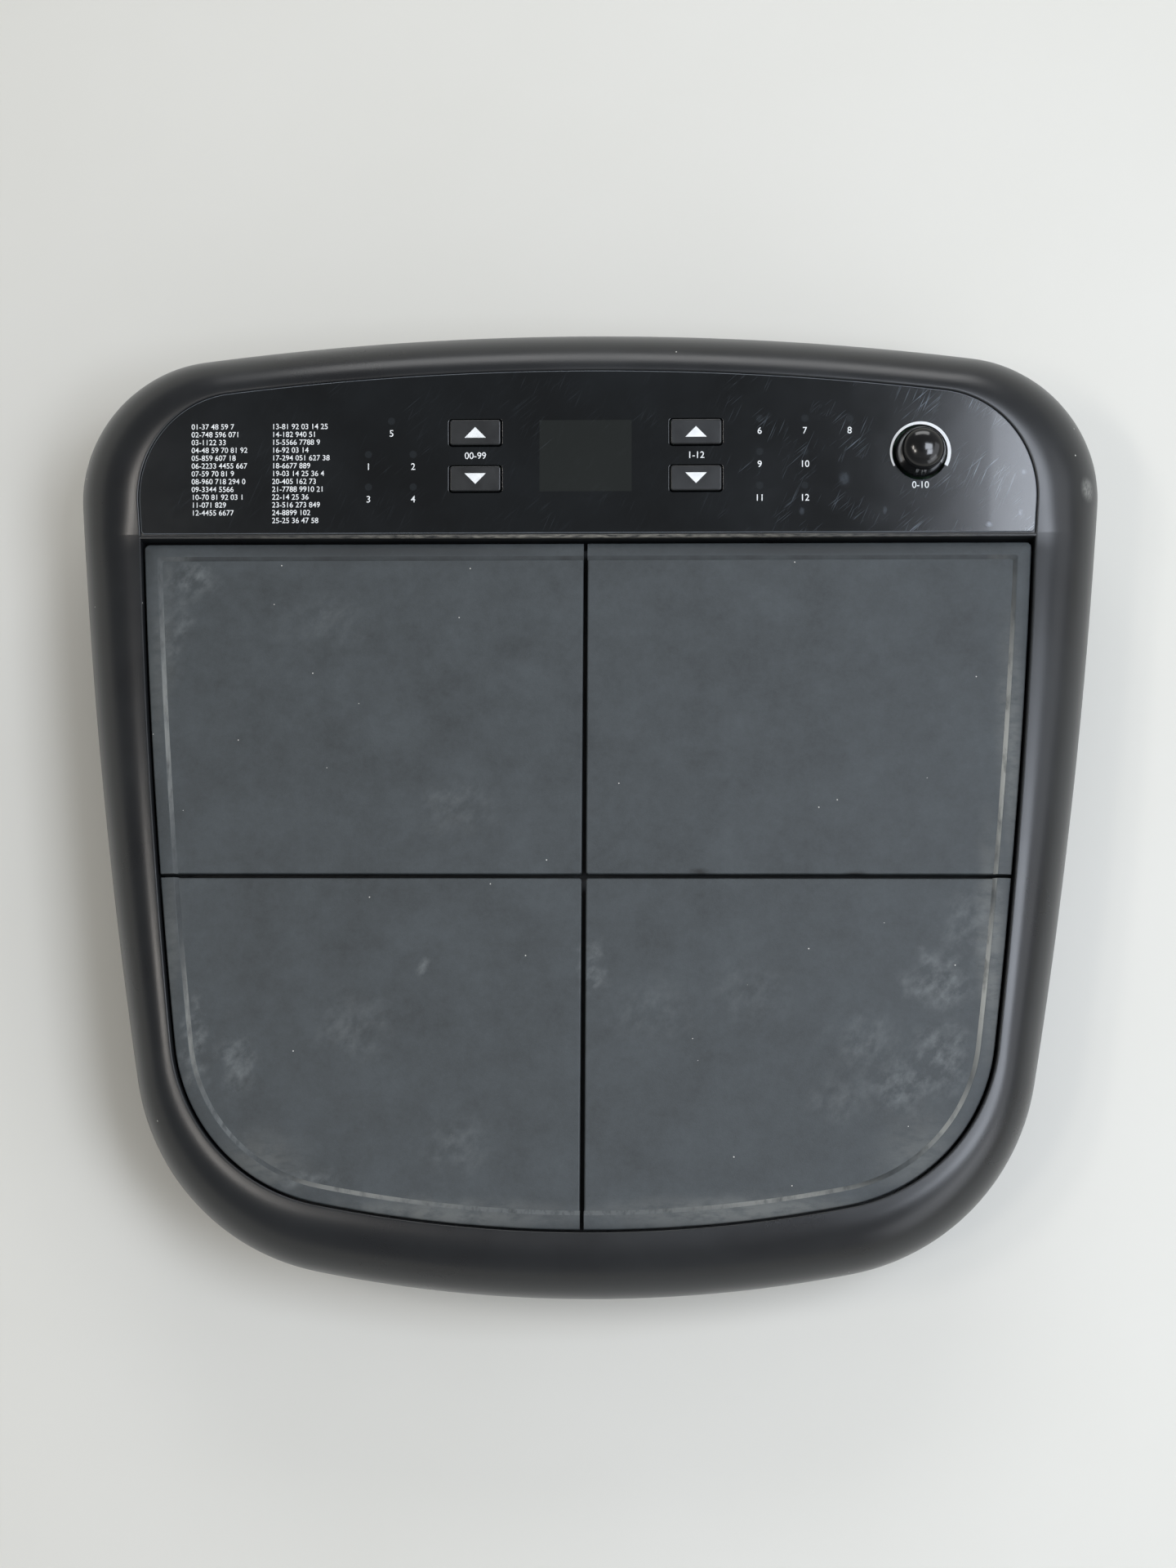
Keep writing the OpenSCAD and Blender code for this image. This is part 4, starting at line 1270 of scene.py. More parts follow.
@dataclass
class ControlPanel:
    """Gloss overlay with its holes, its print and its hidden windows."""

    levels: Levels = LEVELS
    gap: float = 0.25
    low: float = -0.9
    high: float = -0.1
    edge_r: float = 0.25
    corner_r: float = 1.3
    hole_reach: float = 10.0
    hole_corner_r: float = 1.0
    button_x: float = 34.15
    button_rows: tuple[float, float] = (31.4, 17.1)
    button_w: float = 15.8
    button_d: float = 7.8
    button_gap: float = 0.3
    knob_x: float = 103.3
    knob_y: float = 24.9
    knob_hole_r: float = 8.4
    knob_label_y: float = 14.7
    window: tuple[float, float, float, float] = (0.0, 24.2, 28.5, 22.0)
    lamp_rise: float = 3.9
    lamp_r: float = 1.3
    lamp_strength: float = 0.8
    lamp_labels: tuple[tuple[str, float, float], ...] = (
        ("5", -60.2, 31.2), ("1", -67.4, 20.9), ("2", -53.5, 20.9), ("3", -67.4, 10.8), ("4", -53.5, 10.8),
        ("6", 53.8, 31.6), ("7", 67.7, 31.6), ("8", 81.5, 31.6), ("9", 53.8, 21.3), ("10", 67.7, 21.3),
        ("11", 53.8, 10.9), ("12", 67.7, 10.9),
    )
    cap: float = 2.1
    # Height of a digit over the size of its type, and how far the ink spreads over its height
    cap_share: float = 0.72
    ink_spread: float = 0.004
    index_x: tuple[float, float] = (-122.6, -97.5)
    index_first: tuple[int, int] = (1, 13)
    index_y: float = 33.5
    index_pitch: float = 2.43
    index_cap: float = 1.7
    index_lengths: tuple[tuple[int, ...], ...] = (
        (7, 9, 6, 10, 8, 11, 7, 10, 8, 9, 6, 8), (10, 8, 9, 6, 11, 7, 9, 8, 10, 6, 9, 7, 8),
    )
    index_groups: tuple[int, ...] = (2, 3, 4)
    # Steps from row to row and along a row by which the list's digits change
    index_strides: tuple[int, int] = (37, 11)
    arc_r: float = 9.4
    arc_w: tuple[float, float] = (0.6, 1.1)
    arc_deg: tuple[float, float] = (208.0, -28.0)
    arc_steps: int = 60
    ink_lift: float = 0.02
    ink_half: float = 0.01

    def window_patch(self) -> Patch:
        """Gives the place of the display window on the overlay."""
        x, y, w, d = self.window
        return Patch((x, y, 0.0), (w / 2, d / 2, 1.0))

    def lamp_patches(self) -> tuple[Patch, ...]:
        """Gives the places of the hidden lamps, each above its number."""
        spot = (self.lamp_r, self.lamp_r, self.lamp_strength)
        return spots(0.0, SHEET_REACH, [(x, y + self.lamp_rise, *spot) for _, x, y in self.lamp_labels])

    def outline(self, inset: float) -> np.ndarray:
        """Gives the panel's plan in its own frame.

        Args:
            inset: How far the plan is moved inwards.

        Returns:
            Outline, turning to the left.
        """
        front = self.levels.panel_y + inset
        ring = self.levels.deck().half(inset)
        right = ring[ring[:, 1] > front]
        width = self.levels.deck().half_width(front, inset)
        plan = np.vstack([[[width, front]], right, right[-2::-1] * [-1, 1], [[-width, front]]])
        plan = plan - [0, self.levels.panel_y]
        return rounded(plan / [1, math.cos(self.levels.slope)], self.corner_r)

    def button_spots(self) -> list[tuple[float, float]]:
        """Lists the middles of the buttons."""
        return [(side.value * self.button_x, y) for side in Side for y in self.button_rows]

    def holes(self) -> list[np.ndarray]:
        """Makes the outlines of the button and knob holes.

        Returns:
            The outlines, in the panel's frame.
        """
        w, d = self.button_w + 2 * self.button_gap, self.button_d + 2 * self.button_gap
        found = [box_outline(x, y, w, d, self.hole_corner_r) for x, y in self.button_spots()]
        return found + [circle_outline(self.knob_x, self.knob_y, self.knob_hole_r)]

    def labels(self) -> list[tuple[str, float, float, float]]:
        """Lists the numbers printed by the lamps, the buttons and the knob.

        Returns:
            Text, X and Y of its middle, and cap height of each.
        """
        middle_y = self.window[1]
        marks = [
            *self.lamp_labels, ("00-99", -self.button_x, middle_y), ("1-12", self.button_x, middle_y),
            ("0-10", self.knob_x, self.knob_label_y),
        ]
        return [(*mark, self.cap) for mark in marks]

    def index_rows(self) -> list[tuple[str, float, float, float]]:
        """Lists the rows of the numbered index at the left end.

        Returns:
            Text, X of its left end, Y of its middle, and cap height of each.
        """
        down, along = self.index_strides
        rows = []
        for x, first, lengths in zip(self.index_x, self.index_first, self.index_lengths):
            for i, length in enumerate(lengths):
                pairs = [f"{(down * (first + i) + along * k) % 100:02d}" for k in range(length)]
                digits = "".join(pairs)[:length]
                group = self.index_groups[i % len(self.index_groups)]
                words = " ".join(digits[k:k + group] for k in range(0, length, group))
                y = self.index_y - self.index_pitch * i
                rows.append((f"{first + i:02d}-{words}", x, y, self.index_cap))
        return rows

    def text_mesh(self, text: str, x: float, y: float, cap: float, align: str) -> Mesh:
        """Makes flat print of a number.

        Args:
            text: Digits to print.
            x: Place across the panel.
            y: Place up the panel, of the digits' middle.
            cap: Height of a digit.
            align: Blender's name of the side that x is on.

        Returns:
            The flat mesh in metres.
        """
        curve = bpy.data.curves.new(f"print_{text}", "FONT")
        curve.body = text
        curve.size = cap * MM / self.cap_share
        curve.align_x = align
        curve.align_y = "CENTER"
        curve.offset = cap * MM * self.ink_spread
        mesh = curve_mesh(curve)
        lift = self.high + self.ink_lift
        mesh.transform(self.levels.panel_matrix() @ Matrix.Translation((x * MM, y * MM, lift * MM)))
        return mesh

    def volume_arc(self) -> Mesh:
        """Makes the printed arc around the knob, which grows thicker to its right end.

        Returns:
            The flat mesh in metres.
        """
        angles = np.radians(np.linspace(*self.arc_deg, self.arc_steps))
        inner = self.arc_r - np.linspace(*self.arc_w, self.arc_steps)
        rim = np.column_stack([self.arc_r * np.cos(angles), self.arc_r * np.sin(angles)])
        bore = np.column_stack([inner * np.cos(angles), inner * np.sin(angles)])
        outline = np.vstack([bore, rim[::-1]]) + [self.knob_x, self.knob_y]
        lift, half = self.high + self.ink_lift, self.ink_half
        return sheet_mesh("volume_arc", [outline], lift - half, lift + half, 0.0, self.levels.panel_matrix())

    def paint_edge_highlight(self, sheet: Mesh) -> None:
        """Puts the faces of the sheet's outer edge, not those of its holes, in the second material slot,
        which paints a highlight along that edge.

        Args:
            sheet: The overlay's mesh.
        """
        holes = [Vector(middle) for middle in (*self.button_spots(), (self.knob_x, self.knob_y))]
        back = self.levels.panel_matrix().inverted()
        for face in sheet.polygons:
            spot = (back @ face.center).xy / MM
            away = min((spot - hole).length for hole in holes) > self.hole_reach
            face.material_index = int(face.use_smooth and away)

    def build(self, gloss: Material, cut: Material, ink: Material) -> None:
        """Builds the overlay and its print.

        Args:
            gloss: Overlay material.
            cut: Material of the overlay's outer edge, a painted highlight.
            ink: Print material.
        """
        sheet = sheet_mesh(
            "panel_overlay_looks", [self.outline(self.gap), *self.holes()],
            self.low, self.high, self.edge_r, self.levels.panel_matrix(),
        )
        sheet.materials.append(gloss)
        # The second slot is a painted highlight along the sheet's outer edge
        sheet.materials.append(cut)
        self.paint_edge_highlight(sheet)
        overlay = new_piece("panel_overlay_looks", sheet, CHASSIS, None)
        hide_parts("panel_overlay")
        prints = [self.text_mesh(*mark, "CENTER") for mark in self.labels()]
        prints += [self.text_mesh(*row, "LEFT") for row in self.index_rows()]
        prints.append(self.volume_arc())
        new_piece("panel_print", joined("panel_print", prints), CHASSIS, ink)


@dataclass
class PanelButtons:
    """Four button caps with printed arrows."""

    panel: ControlPanel
    low: float = -4.2
    high: float = 0.9
    edge_r: float = 0.45
    corner_r: float = 0.9
    arrow_w: float = 6.6
    arrow_h: float = 3.3
    ink_lift: float = 0.015
    ink_half: float = 0.01

    def arrow(self, x: float, y: float, way: Arrow) -> np.ndarray:
        """Gives an arrow's triangle.

        Args:
            x: Place across the panel, of its middle.
            y: Place up the panel, of its middle.
            way: Where it points.

        Returns:
            Outline, turning to the left.
        """
        w, h = self.arrow_w / 2, way.value * self.arrow_h / 2
        points = np.array([[-w, -h], [w, -h], [0, h]]) + [x, y]
        return points if way is Arrow.UP else points[::-1]

    def build(self, cap: Material, ink: Material) -> None:
        """Builds the caps and their arrows.

        Args:
            cap: Cap material.
            ink: Print material.
        """
        panel, place = self.panel, self.panel.levels.panel_matrix()
        top, half = self.high + self.ink_lift, self.ink_half
        for side, column in ((Side.LEFT, "value"), (Side.RIGHT, "select")):
            for y, way in zip(panel.button_rows, Arrow):
                body = f"{column}_{way.name.lower()}"
                x = side.value * panel.button_x
                outline = box_outline(x, y, panel.button_w, panel.button_d, self.corner_r)
                mesh = sheet_mesh(f"{body}_cap", [outline], self.low, self.high, self.edge_r, place)
                piece = new_piece(f"{body}_cap", mesh, body, cap)
                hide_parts(f"{body}_button")
                arrow = self.arrow(x, y, way)
                mark = sheet_mesh(f"{body}_arrow", [arrow], top - half, top + half, 0.0, place)
                new_piece(f"{body}_arrow", mark, body, ink)


@dataclass
class VolumeKnob:
    """Domed knob in a round hole of the panel."""

    panel: ControlPanel
    radius: float = 7.8
    low: float = -1.8
    chamfer: float = 0.3
    foot: float = 1.2
    dome_r: float = 6.6
    dome_h: float = 4.0
    height: float = 11.0
    tip_r: float = 0.02
    dome_steps: int = 16
    steps: int = 96

    def profile(self) -> list[tuple[float, float]]:
        """Draws the knob's half section.

        Returns:
            Radius and height of its points, from the foot to the top.
        """
        edge = self.chamfer
        points = [(self.radius - edge, self.low), (self.radius, self.low + edge), (self.radius, self.foot)]
        shoulder = self.height - self.dome_h
        for angle in np.linspace(0, math.pi / 2, self.dome_steps)[:-1]:
            points.append((self.dome_r * math.cos(angle), shoulder + self.dome_h * math.sin(angle)))
        return [*points, (self.tip_r, self.height)]

    def build(self, finish: Material) -> None:
        """Builds the knob in place of its CAD node.

        Args:
            finish: Knob material.
        """
        rings = []
        for radius, z in self.profile():
            circle = circle_outline(self.panel.knob_x, self.panel.knob_y, radius, self.steps)
            rings.append(np.column_stack([circle, np.full(len(circle), z)]))
        mesh = loft_mesh("volume_knob_looks", rings, False, CREASE_DEG)
        mesh.transform(self.panel.levels.panel_matrix())
        piece = new_piece("volume_knob_looks", mesh, "volume_control", finish)
        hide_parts("volume_knob")


@dataclass
class DataSocket:
    """Round five-pin socket in the jack plate, with its contact holes and its key."""

    x: float = 32.0
    z: float = 18.0
    face_y: float = 133.5
    face_r: float = 7.4
    face_edge: float = 0.15
    ring_r: float = 6.85
    core_r: float = 5.9
    core_edge: float = 0.12
    deep: float = 8.0
    pin_circle_r: float = 3.9
    pin_r: float = 0.75
    pin_deg: tuple[float, ...] = (0.0, 45.0, 90.0, 135.0, 180.0)
    pin_steps: int = 20
    key: tuple[float, float] = (2.2, 1.2)
    key_r: float = 0.3
    body_edge: float = 0.4

    def build(self, finish: Material) -> None:
        """Builds the socket in place of its CAD node.

        Args:
            finish: Nylon material.
        """
        # Z runs out of the plate and Y down, so that the socket is drawn as it is seen from behind
        middle = Matrix.Translation((self.x * MM, self.face_y * MM, self.z * MM))
        place = middle @ Matrix.Rotation(-math.pi / 2, 4, "X")
        first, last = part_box("data_socket")
        low, high = first / MM, last / MM
        rims = [circle_outline(0, 0, self.face_r), circle_outline(0, 0, self.ring_r)]
        collar = sheet_mesh("collar", rims, -self.deep, 0, self.face_edge, place)
        reach = self.pin_circle_r
        pins = [
            circle_outline(reach * math.cos(turn), -reach * math.sin(turn), self.pin_r, self.pin_steps)
            for turn in np.radians(self.pin_deg)
        ]
        key = box_outline(0, self.core_r - self.key[1], *self.key, self.key_r)
        front = [circle_outline(0, 0, self.core_r), *pins, key]
        core = sheet_mesh("core", front, -self.deep, 0, self.core_edge, place)
        outline = box_outline(
            0, self.z - (low.z + high.z) / 2, high.x - low.x, high.z - low.z, self.body_edge,
        )
        body = sheet_mesh("body", [outline], low.y - self.face_y, -self.deep, self.body_edge, place)
        mesh = joined("data_socket_looks", [collar, core, body])
        piece = new_piece("data_socket_looks", mesh, CHASSIS, finish)
        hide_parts("data_socket")


@dataclass
class Wiring:
    """Pad leads and the ribbon cable between the two boards, held at both ends inside the case."""

    levels: Levels = LEVELS
    lead_r: float = 0.8
    lead_out: float = 5.0
    lead_bend: float = 2.0
    lead_drop: float = 5.5
    lead_run: float = 3.0
    lane_pitch: float = 6.0
    # Lanes from the middle, of the rear pads' leads and of the front pads' leads
    lanes: tuple[float, float] = (1.5, 0.5)
    header: tuple[float, float] = (13.0, -16.1)
    slack: float = 6.0
    round_mm: float = 6.0
    round_steps: int = 9
    least_step: float = 1e-3
    sides: int = 16
    ribbon_x: float = -45.0
    ribbon_w: float = 20.0
    ribbon_t: float = 1.2
    ribbon_low: tuple[float, float] = (99.3, 15.1)
    ribbon_head: tuple[float, float] = (17.0, -16.1)
    ribbon_swing: float = 2.5
    ribbon_steps: int = 41
    wires: int = 16
    wire_steps: int = 8
    web: float = 0.6

    def on_panel(self, x: float, y: float, n: float) -> np.ndarray:
        """Turns a point of the panel's frame to one of the part, in millimetres."""
        return np.array(self.levels.panel_matrix() @ Vector((x * MM, y * MM, n * MM))) / MM

    def route(self, number: int) -> np.ndarray:
        """Gives the corners of a lead's way from its disc, through the tray, to the header.

        Args:
            number: Pad number.

        Returns:
            Points in millimetres.
        """
        row = Row.REAR if number < Row.FRONT.value else Row.FRONT
        side = Side.LEFT if number == row.value else Side.RIGHT
        first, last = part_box(f"pad_piezo_{number}")
        x, y = ((first + last) / (2 * MM)).xy
        x -= side.value * self.lead_out
        lane = side.value * self.lane_pitch * self.lanes[row is Row.FRONT]
        low, sill_y = self.levels.tray_z - self.lead_drop, self.levels.panel_y - self.levels.sill_w
        pin = self.on_panel(lane, *self.header)
        below = self.on_panel(lane, self.header[0], self.header[1] - self.lead_run)
        return np.array([
            (x, y, first.z / MM),
            (x, y, low + self.lead_bend),
            (x, y + self.lead_bend, low),
            ((x + lane) / 2, (y + sill_y) / 2, low),
            (lane, sill_y, low),
            (lane, (sill_y + below[1]) / 2, low),
            (lane, below[1], (low + below[2]) / 2),
            below,
            pin,
        ])

    def eased(self, corners: np.ndarray) -> np.ndarray:
        """Rounds the corners of a way in space.

        Args:
            corners: Its corners.

        Returns:
            Points of the smooth way.
        """
        points = [corners[0]]
        for before, corner, after in zip(corners, corners[1:], corners[2:]):
            legs = [end - corner for end in (before, after)]
            reach = min(self.round_mm, *(np.linalg.norm(leg) / 2 for leg in legs))
            into, out = (corner + reach * leg / np.linalg.norm(leg) for leg in legs)
            for t in np.linspace(0, 1, self.round_steps):
                points.append((1 - t) ** 2 * into + 2 * t * (1 - t) * corner + t ** 2 * out)
        points.append(corners[-1])
        apart = [True, *(np.linalg.norm(np.diff(points, axis=0), axis=1) > self.least_step)]
        return np.array(points)[apart]

    def lead(self, number: int, finish: Material) -> None:
        """Builds one lead, from its pad's disc to the header.

        Args:
            number: Pad number.
            finish: Wire material.
        """
        node = f"pad_lead_{number}"
        way = self.eased(self.route(number))
        along = np.gradient(way, axis=0)
        circle = circle_outline(0, 0, self.lead_r, self.sides)
        across = np.array([1.0, 0.0, 0.0])
        rings = []
        for point, ahead in zip(way, along / np.linalg.norm(along, axis=1)[:, None]):
            across = across - (across @ ahead) * ahead
            across /= np.linalg.norm(across)
            rings.append(point + circle[:, :1] * across + circle[:, 1:] * np.cross(ahead, across))
        mesh = loft_mesh(f"{node}_looks", rings, False, CREASE_DEG)
        piece = new_piece(f"{node}_looks", mesh, None, finish)
        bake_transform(piece)
        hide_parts(node)

    def ribbon(self, finish: Material) -> None:
        """Builds the flat cable, with a ridge over each of its wires.

        Args:
            finish: Cable material.
        """
        low_y, low_z = self.ribbon_low
        _, high_y, high_z = self.on_panel(0, *self.ribbon_head)
        x = np.linspace(-self.ribbon_w / 2, self.ribbon_w / 2, self.wire_steps * self.wires + 1)
        ridge = np.abs(np.sin(math.pi * self.wires * (x / self.ribbon_w + 0.5)))
        half = self.ribbon_t / 2 * (self.web + (1 - self.web) * ridge)
        loop_x = self.ribbon_x + np.append(x, x[::-1])
        thick = np.append(half, -half[::-1])
        rings = []
        for t in np.linspace(0, 1, self.ribbon_steps):
            y = low_y + (high_y - low_y) * t + self.ribbon_swing * math.sin(2 * math.pi * t)
            # The upper end is cut to the slope of the header that it enters
            tip = thick * math.tan(self.levels.slope) * (t == 1)
            rings.append(np.column_stack([loop_x, y + thick, low_z + (high_z - low_z) * t + tip]))
        mesh = loft_mesh("ribbon_cable_looks", rings, False, CREASE_DEG)
        piece = new_piece("ribbon_cable_looks", mesh, CHASSIS, finish)
        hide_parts("ribbon_cable")

    def build(self, wire: Material, flat: Material) -> None:
        """Builds all the wiring in place of its CAD nodes.

        Args:
            wire: Material of the leads.
            flat: Material of the flat cable.
        """
        for row in Row:
            for number in (row.value, row.value + 1):
                self.lead(number, wire)
        self.ribbon(flat)


@dataclass
class Insides:
    """Dresses the CAD nodes that keep their own shape."""

    finishes: dict[str, Finish]
    crease_deg: float = 32.0
    weld_mm: float = 0.001

    def smooth(self, node: Object) -> None:
        """Shades a CAD node's rounds smooth and keeps its edges sharp.

        Args:
            node: The CAD node's object.
        """
        normals = node.data.attributes.get("custom_normal")
        if normals:
            node.data.attributes.remove(normals)
        node.data.shade_smooth()
        node.modifiers.new("weld", "WELD").merge_threshold = self.weld_mm * MM
        split = node.modifiers.new("creases", "EDGE_SPLIT")
        split.use_edge_sharp = False
        split.split_angle = math.radians(self.crease_deg)

    def dress(self) -> None:
        """Gives each shown CAD node the finish of its material slot."""
        made = {slot: finish.make() for slot, finish in self.finishes.items()}
        for part in frame["record"]["subparts"]:
            node = frame["nodes"][part["node"]]
            if node.hide_render:
                continue
            node.data.materials.clear()
            node.data.materials.append(made[part["material_slot"]])
            self.smooth(node)
            LOG.info("%s: %s", part["node"], part["material_slot"])


@dataclass(frozen=True)
class SoftBox:
    """Soft rectangular lamp, sized and placed in metres, which points straight down without an aim."""

    name: str
    place: tuple[float, float, float]
    size: tuple[float, float]
    watts: float
    colour: str
    aim: tuple[float, float, float] | None = None

    def build(self) -> None:
        """Makes the lamp."""
        light = bpy.data.lights.new(self.name, "AREA")
        light.shape = "RECTANGLE"
        light.size, light.size_y = self.size
        light.energy = self.watts
        light.color = linear(self.colour)[:3]
        lamp = placed(self.name, light)
        lamp.location = self.place
        aim = self.aim or (*self.place[:2], 0)
        lamp.rotation_euler = (Vector(aim) - Vector(self.place)).to_track_quat("-Z", "Y").to_euler()


WARM, COOL, DAYLIGHT, NEUTRAL = "#fff9f2", "#ecf3ff", "#f6f9ff", "#ffffff"
SOFT_BOXES = (
    SoftBox("soft_box_left", (-0.63, 0.02, 1.15), (0.12, 0.24), 2.0, WARM),
    SoftBox("soft_box_front_left", (-0.47, -0.25, 1.15), (0.12, 0.20), 1.7, WARM),
    SoftBox("soft_box_right", (0.54, 0.07, 1.15), (0.52, 0.40), 6.5, COOL),
    SoftBox("soft_box_front_right", (0.66, -0.33, 1.15), (0.44, 0.36), 5.4, COOL),
    SoftBox("window_right", (1.15, -0.30, 0.90), (1.6, 0.60), 4.0, DAYLIGHT, (0, 0, 0.03)),
    SoftBox("window_front_right", (0.90, -0.80, 0.55), (0.9, 0.5), 2.6, DAYLIGHT, (0.05, -0.05, 0.03)),
    SoftBox("soft_box_rear", (0.10, 1.05, 0.70), (0.9, 0.40), 4.4, NEUTRAL, (0, 0.1, 0.05)),
    SoftBox("soft_box_front", (-0.1, -0.62, 1.15), (1.4, 0.6), 0.3, NEUTRAL),
)


@dataclass
class Studio:
    """Floor, light and camera.

    The room's light falls from near the floor to overhead by rise_level, and grows from left to right by
    side_level. A low band has the paper's own tone, so that the floor has no far edge.
    """

    target: tuple[float, float, float] = (1.12, 2.29, 49.8)
    distance: float = 714.6
    tilt: float = math.radians(12.0)
    yaw: float = math.radians(1.641)
    roll: float = math.radians(0.32)
    focal_px: float = 2884.0
    image_h_px: float = 1920.0
    sensor_mm: float = 36.0
    clip_mm: float = 10.0
    floor_r: float = 6000.0
    floor_steps: int = 96
    paper_tone: str = "#dbdbd5"
    room_tone: str = "#f2f4f6"
    rise: tuple[float, float] = (0.1, 1.0)
    rise_level: tuple[float, float] = (0.58, 0.31)
    side: tuple[float, float] = (-0.7, 0.5)
    side_level: tuple[float, float] = (0.52, 1.0)
    band: tuple[float, float] = (0.12, 0.32)

    def camera(self) -> None:
        """Makes the camera at the photograph's viewing angle."""
        across = math.sin(self.yaw) * math.cos(self.tilt)
        back = Vector((across, -math.sin(self.tilt), math.cos(self.tilt) * math.cos(self.yaw))).normalized()
        up = (Vector((0, 1, 0)) - back * back.y).normalized()
        right = up.cross(back)
        turned_right = right * math.cos(self.roll) + up * math.sin(self.roll)
        turned_up = up * math.cos(self.roll) - right * math.sin(self.roll)
        lens = bpy.data.cameras.new("camera")
        lens.sensor_width = self.sensor_mm
        lens.lens = self.focal_px * self.sensor_mm / self.image_h_px
        lens.clip_start = self.clip_mm * MM
        camera = placed("camera", lens)
        eye = (Vector(self.target) + back * self.distance) * MM
        axes = Matrix((turned_right, turned_up, back)).transposed()
        camera.matrix_world = Matrix.Translation(eye) @ axes.to_4x4()
        bpy.context.scene.camera = camera

    def floor(self) -> None:
        """Makes a pale round paper floor."""
        rim = circle_outline(0, 0, self.floor_r, self.floor_steps) * MM
        mesh = bpy.data.meshes.new("paper_floor")
        mesh.from_pydata([(x, y, 0) for x, y in rim], [], [tuple(range(len(rim)))])
        # Calendered paper: pale, matt and even, with a faint tooth
        paper = StudioPaper(
            "Uncoated white paper, calendered", "#cecdc6", "#d2d1cb", far_tone=self.paper_tone,
            tone_mm=220.0, roughness=0.85, spread=0.03, grain_mm=0.6, grain_depth_mm=0.004,
        )
        mesh.materials.append(paper.make())
        placed("paper_floor", mesh)

    def room(self) -> None:
        """Makes a room that is darker overhead and to the left."""
        world = bpy.data.worlds.new("room")
        world.use_nodes = True
        bpy.context.scene.world = world
        tree = world.node_tree
        way = add_node(tree, "TexCoord", out="Generated")
        rise = add_node(tree, "SeparateXYZ", inputs={"Vector": way}, out="Z")
        levels = []
        for axis, (first, last), (low, high) in (
            (rise, self.rise, self.rise_level), (rise.node.outputs["X"], self.side, self.side_level),
        ):
            levels.append(add_node(tree, "MapRange", inputs={
                "Value": axis, "From Min": first, "From Max": last, "To Min": low, "To Max": high,
            }))
        overhead = add_node(tree, "Math", {"operation": "MULTIPLY"}, dict(enumerate(levels)))
        lifted = add_node(tree, "MapRange", {"interpolation_type": "SMOOTHSTEP"}, {
            "Value": rise, "From Min": self.band[0], "From Max": self.band[1],
        })
        colour = add_node(tree, "Mix", {"data_type": "RGBA"}, {
            0: lifted, 6: linear(self.paper_tone), 7: linear(self.room_tone),
        }, 2)
        level = add_node(tree, "MapRange", inputs={"Value": lifted, "To Min": 1.0, "To Max": overhead})
        background = tree.nodes["Background"]
        tree.links.new(colour, background.inputs["Color"])
        tree.links.new(level, background.inputs["Strength"])

    def build(self) -> None:
        """Builds the whole studio."""
        bpy.context.scene.view_settings.view_transform = "Standard"
        self.floor()
        self.room()
        for soft_box in SOFT_BOXES:
            soft_box.build()
        self.camera()


# Moulded ABS with a spark-eroded texture: soft wide highlights, faint drift of gloss from handling
HOUSING = LayeredFinish(
    "Black ABS, moulded with a fine spark-eroded texture", "#17181a", "#1f2123",
    tone_mm=40.0, roughness=0.30, spread=0.04, grain_mm=0.55, grain_depth_mm=0.007,
    dust_mm=14.0, dust_r=0.018,
    wear=(
        # Scuffs on the rim
        ColourLayer("#8b8c88", (
            Patch((-95.0, 139.0, 62.0), (7.0, 3.5, 8.0)), Patch((155.5, 96.6, 44.0), (3.5, 5.0, 9.0)),
        ), streak_mm=(0.8, 2.5), cover=0.75),
        # Dust along the sill's top, which is also a painted highlight of its rounded edge
        ColourLayer("#8a877d", (
            Patch((0.0, 80.2, 52.0), (160.0, 1.3, 1.5), 0.6),
        ), streak_mm=(0.6, 3.0), turn_deg=90.0, cover=0.6),
    ),
)
# Polycarbonate sheet with a hard coat: mirror-like, with fine scratches from wiping
OVERLAY = ScratchedSheet(
    "Black polycarbonate sheet, hard coated", "#06080a", "#0d1114",
    tone_mm=30.0, roughness=0.14, spread=0.03, grain_mm=0.8, grain_depth_mm=0.0006, coat=0.2,
    sheet=LEVELS.panel_matrix(), window=ControlPanel().window_patch(), lamps=ControlPanel().lamp_patches(),
    marks=spots(0.0, SHEET_REACH, (
        (124.3, 2.5, 1.5, 1.2, 0.8), (135.0, 18.6, 1.3, 1.4, 0.5), (134.0, 6.2, 1.2, 1.8, 0.5),
        (79.9, 16.8, 2.4, 3.0, 0.25), (66.8, 6.8, 1.1, 1.6, 0.3), (92.4, 7.0, 1.0, 2.0, 0.25),
    )),
)
# The sheet's outer edge: rough and paler than its face, a painted highlight of the light line around the
# panel
OVERLAY_EDGE_HIGHLIGHT = Finish(
    "Polycarbonate sheet, die cut", "#5d6267", "#4c5156",
    tone_mm=5.0, roughness=0.5, spread=0.05, grain_mm=0.3, grain_depth_mm=0.004,
)
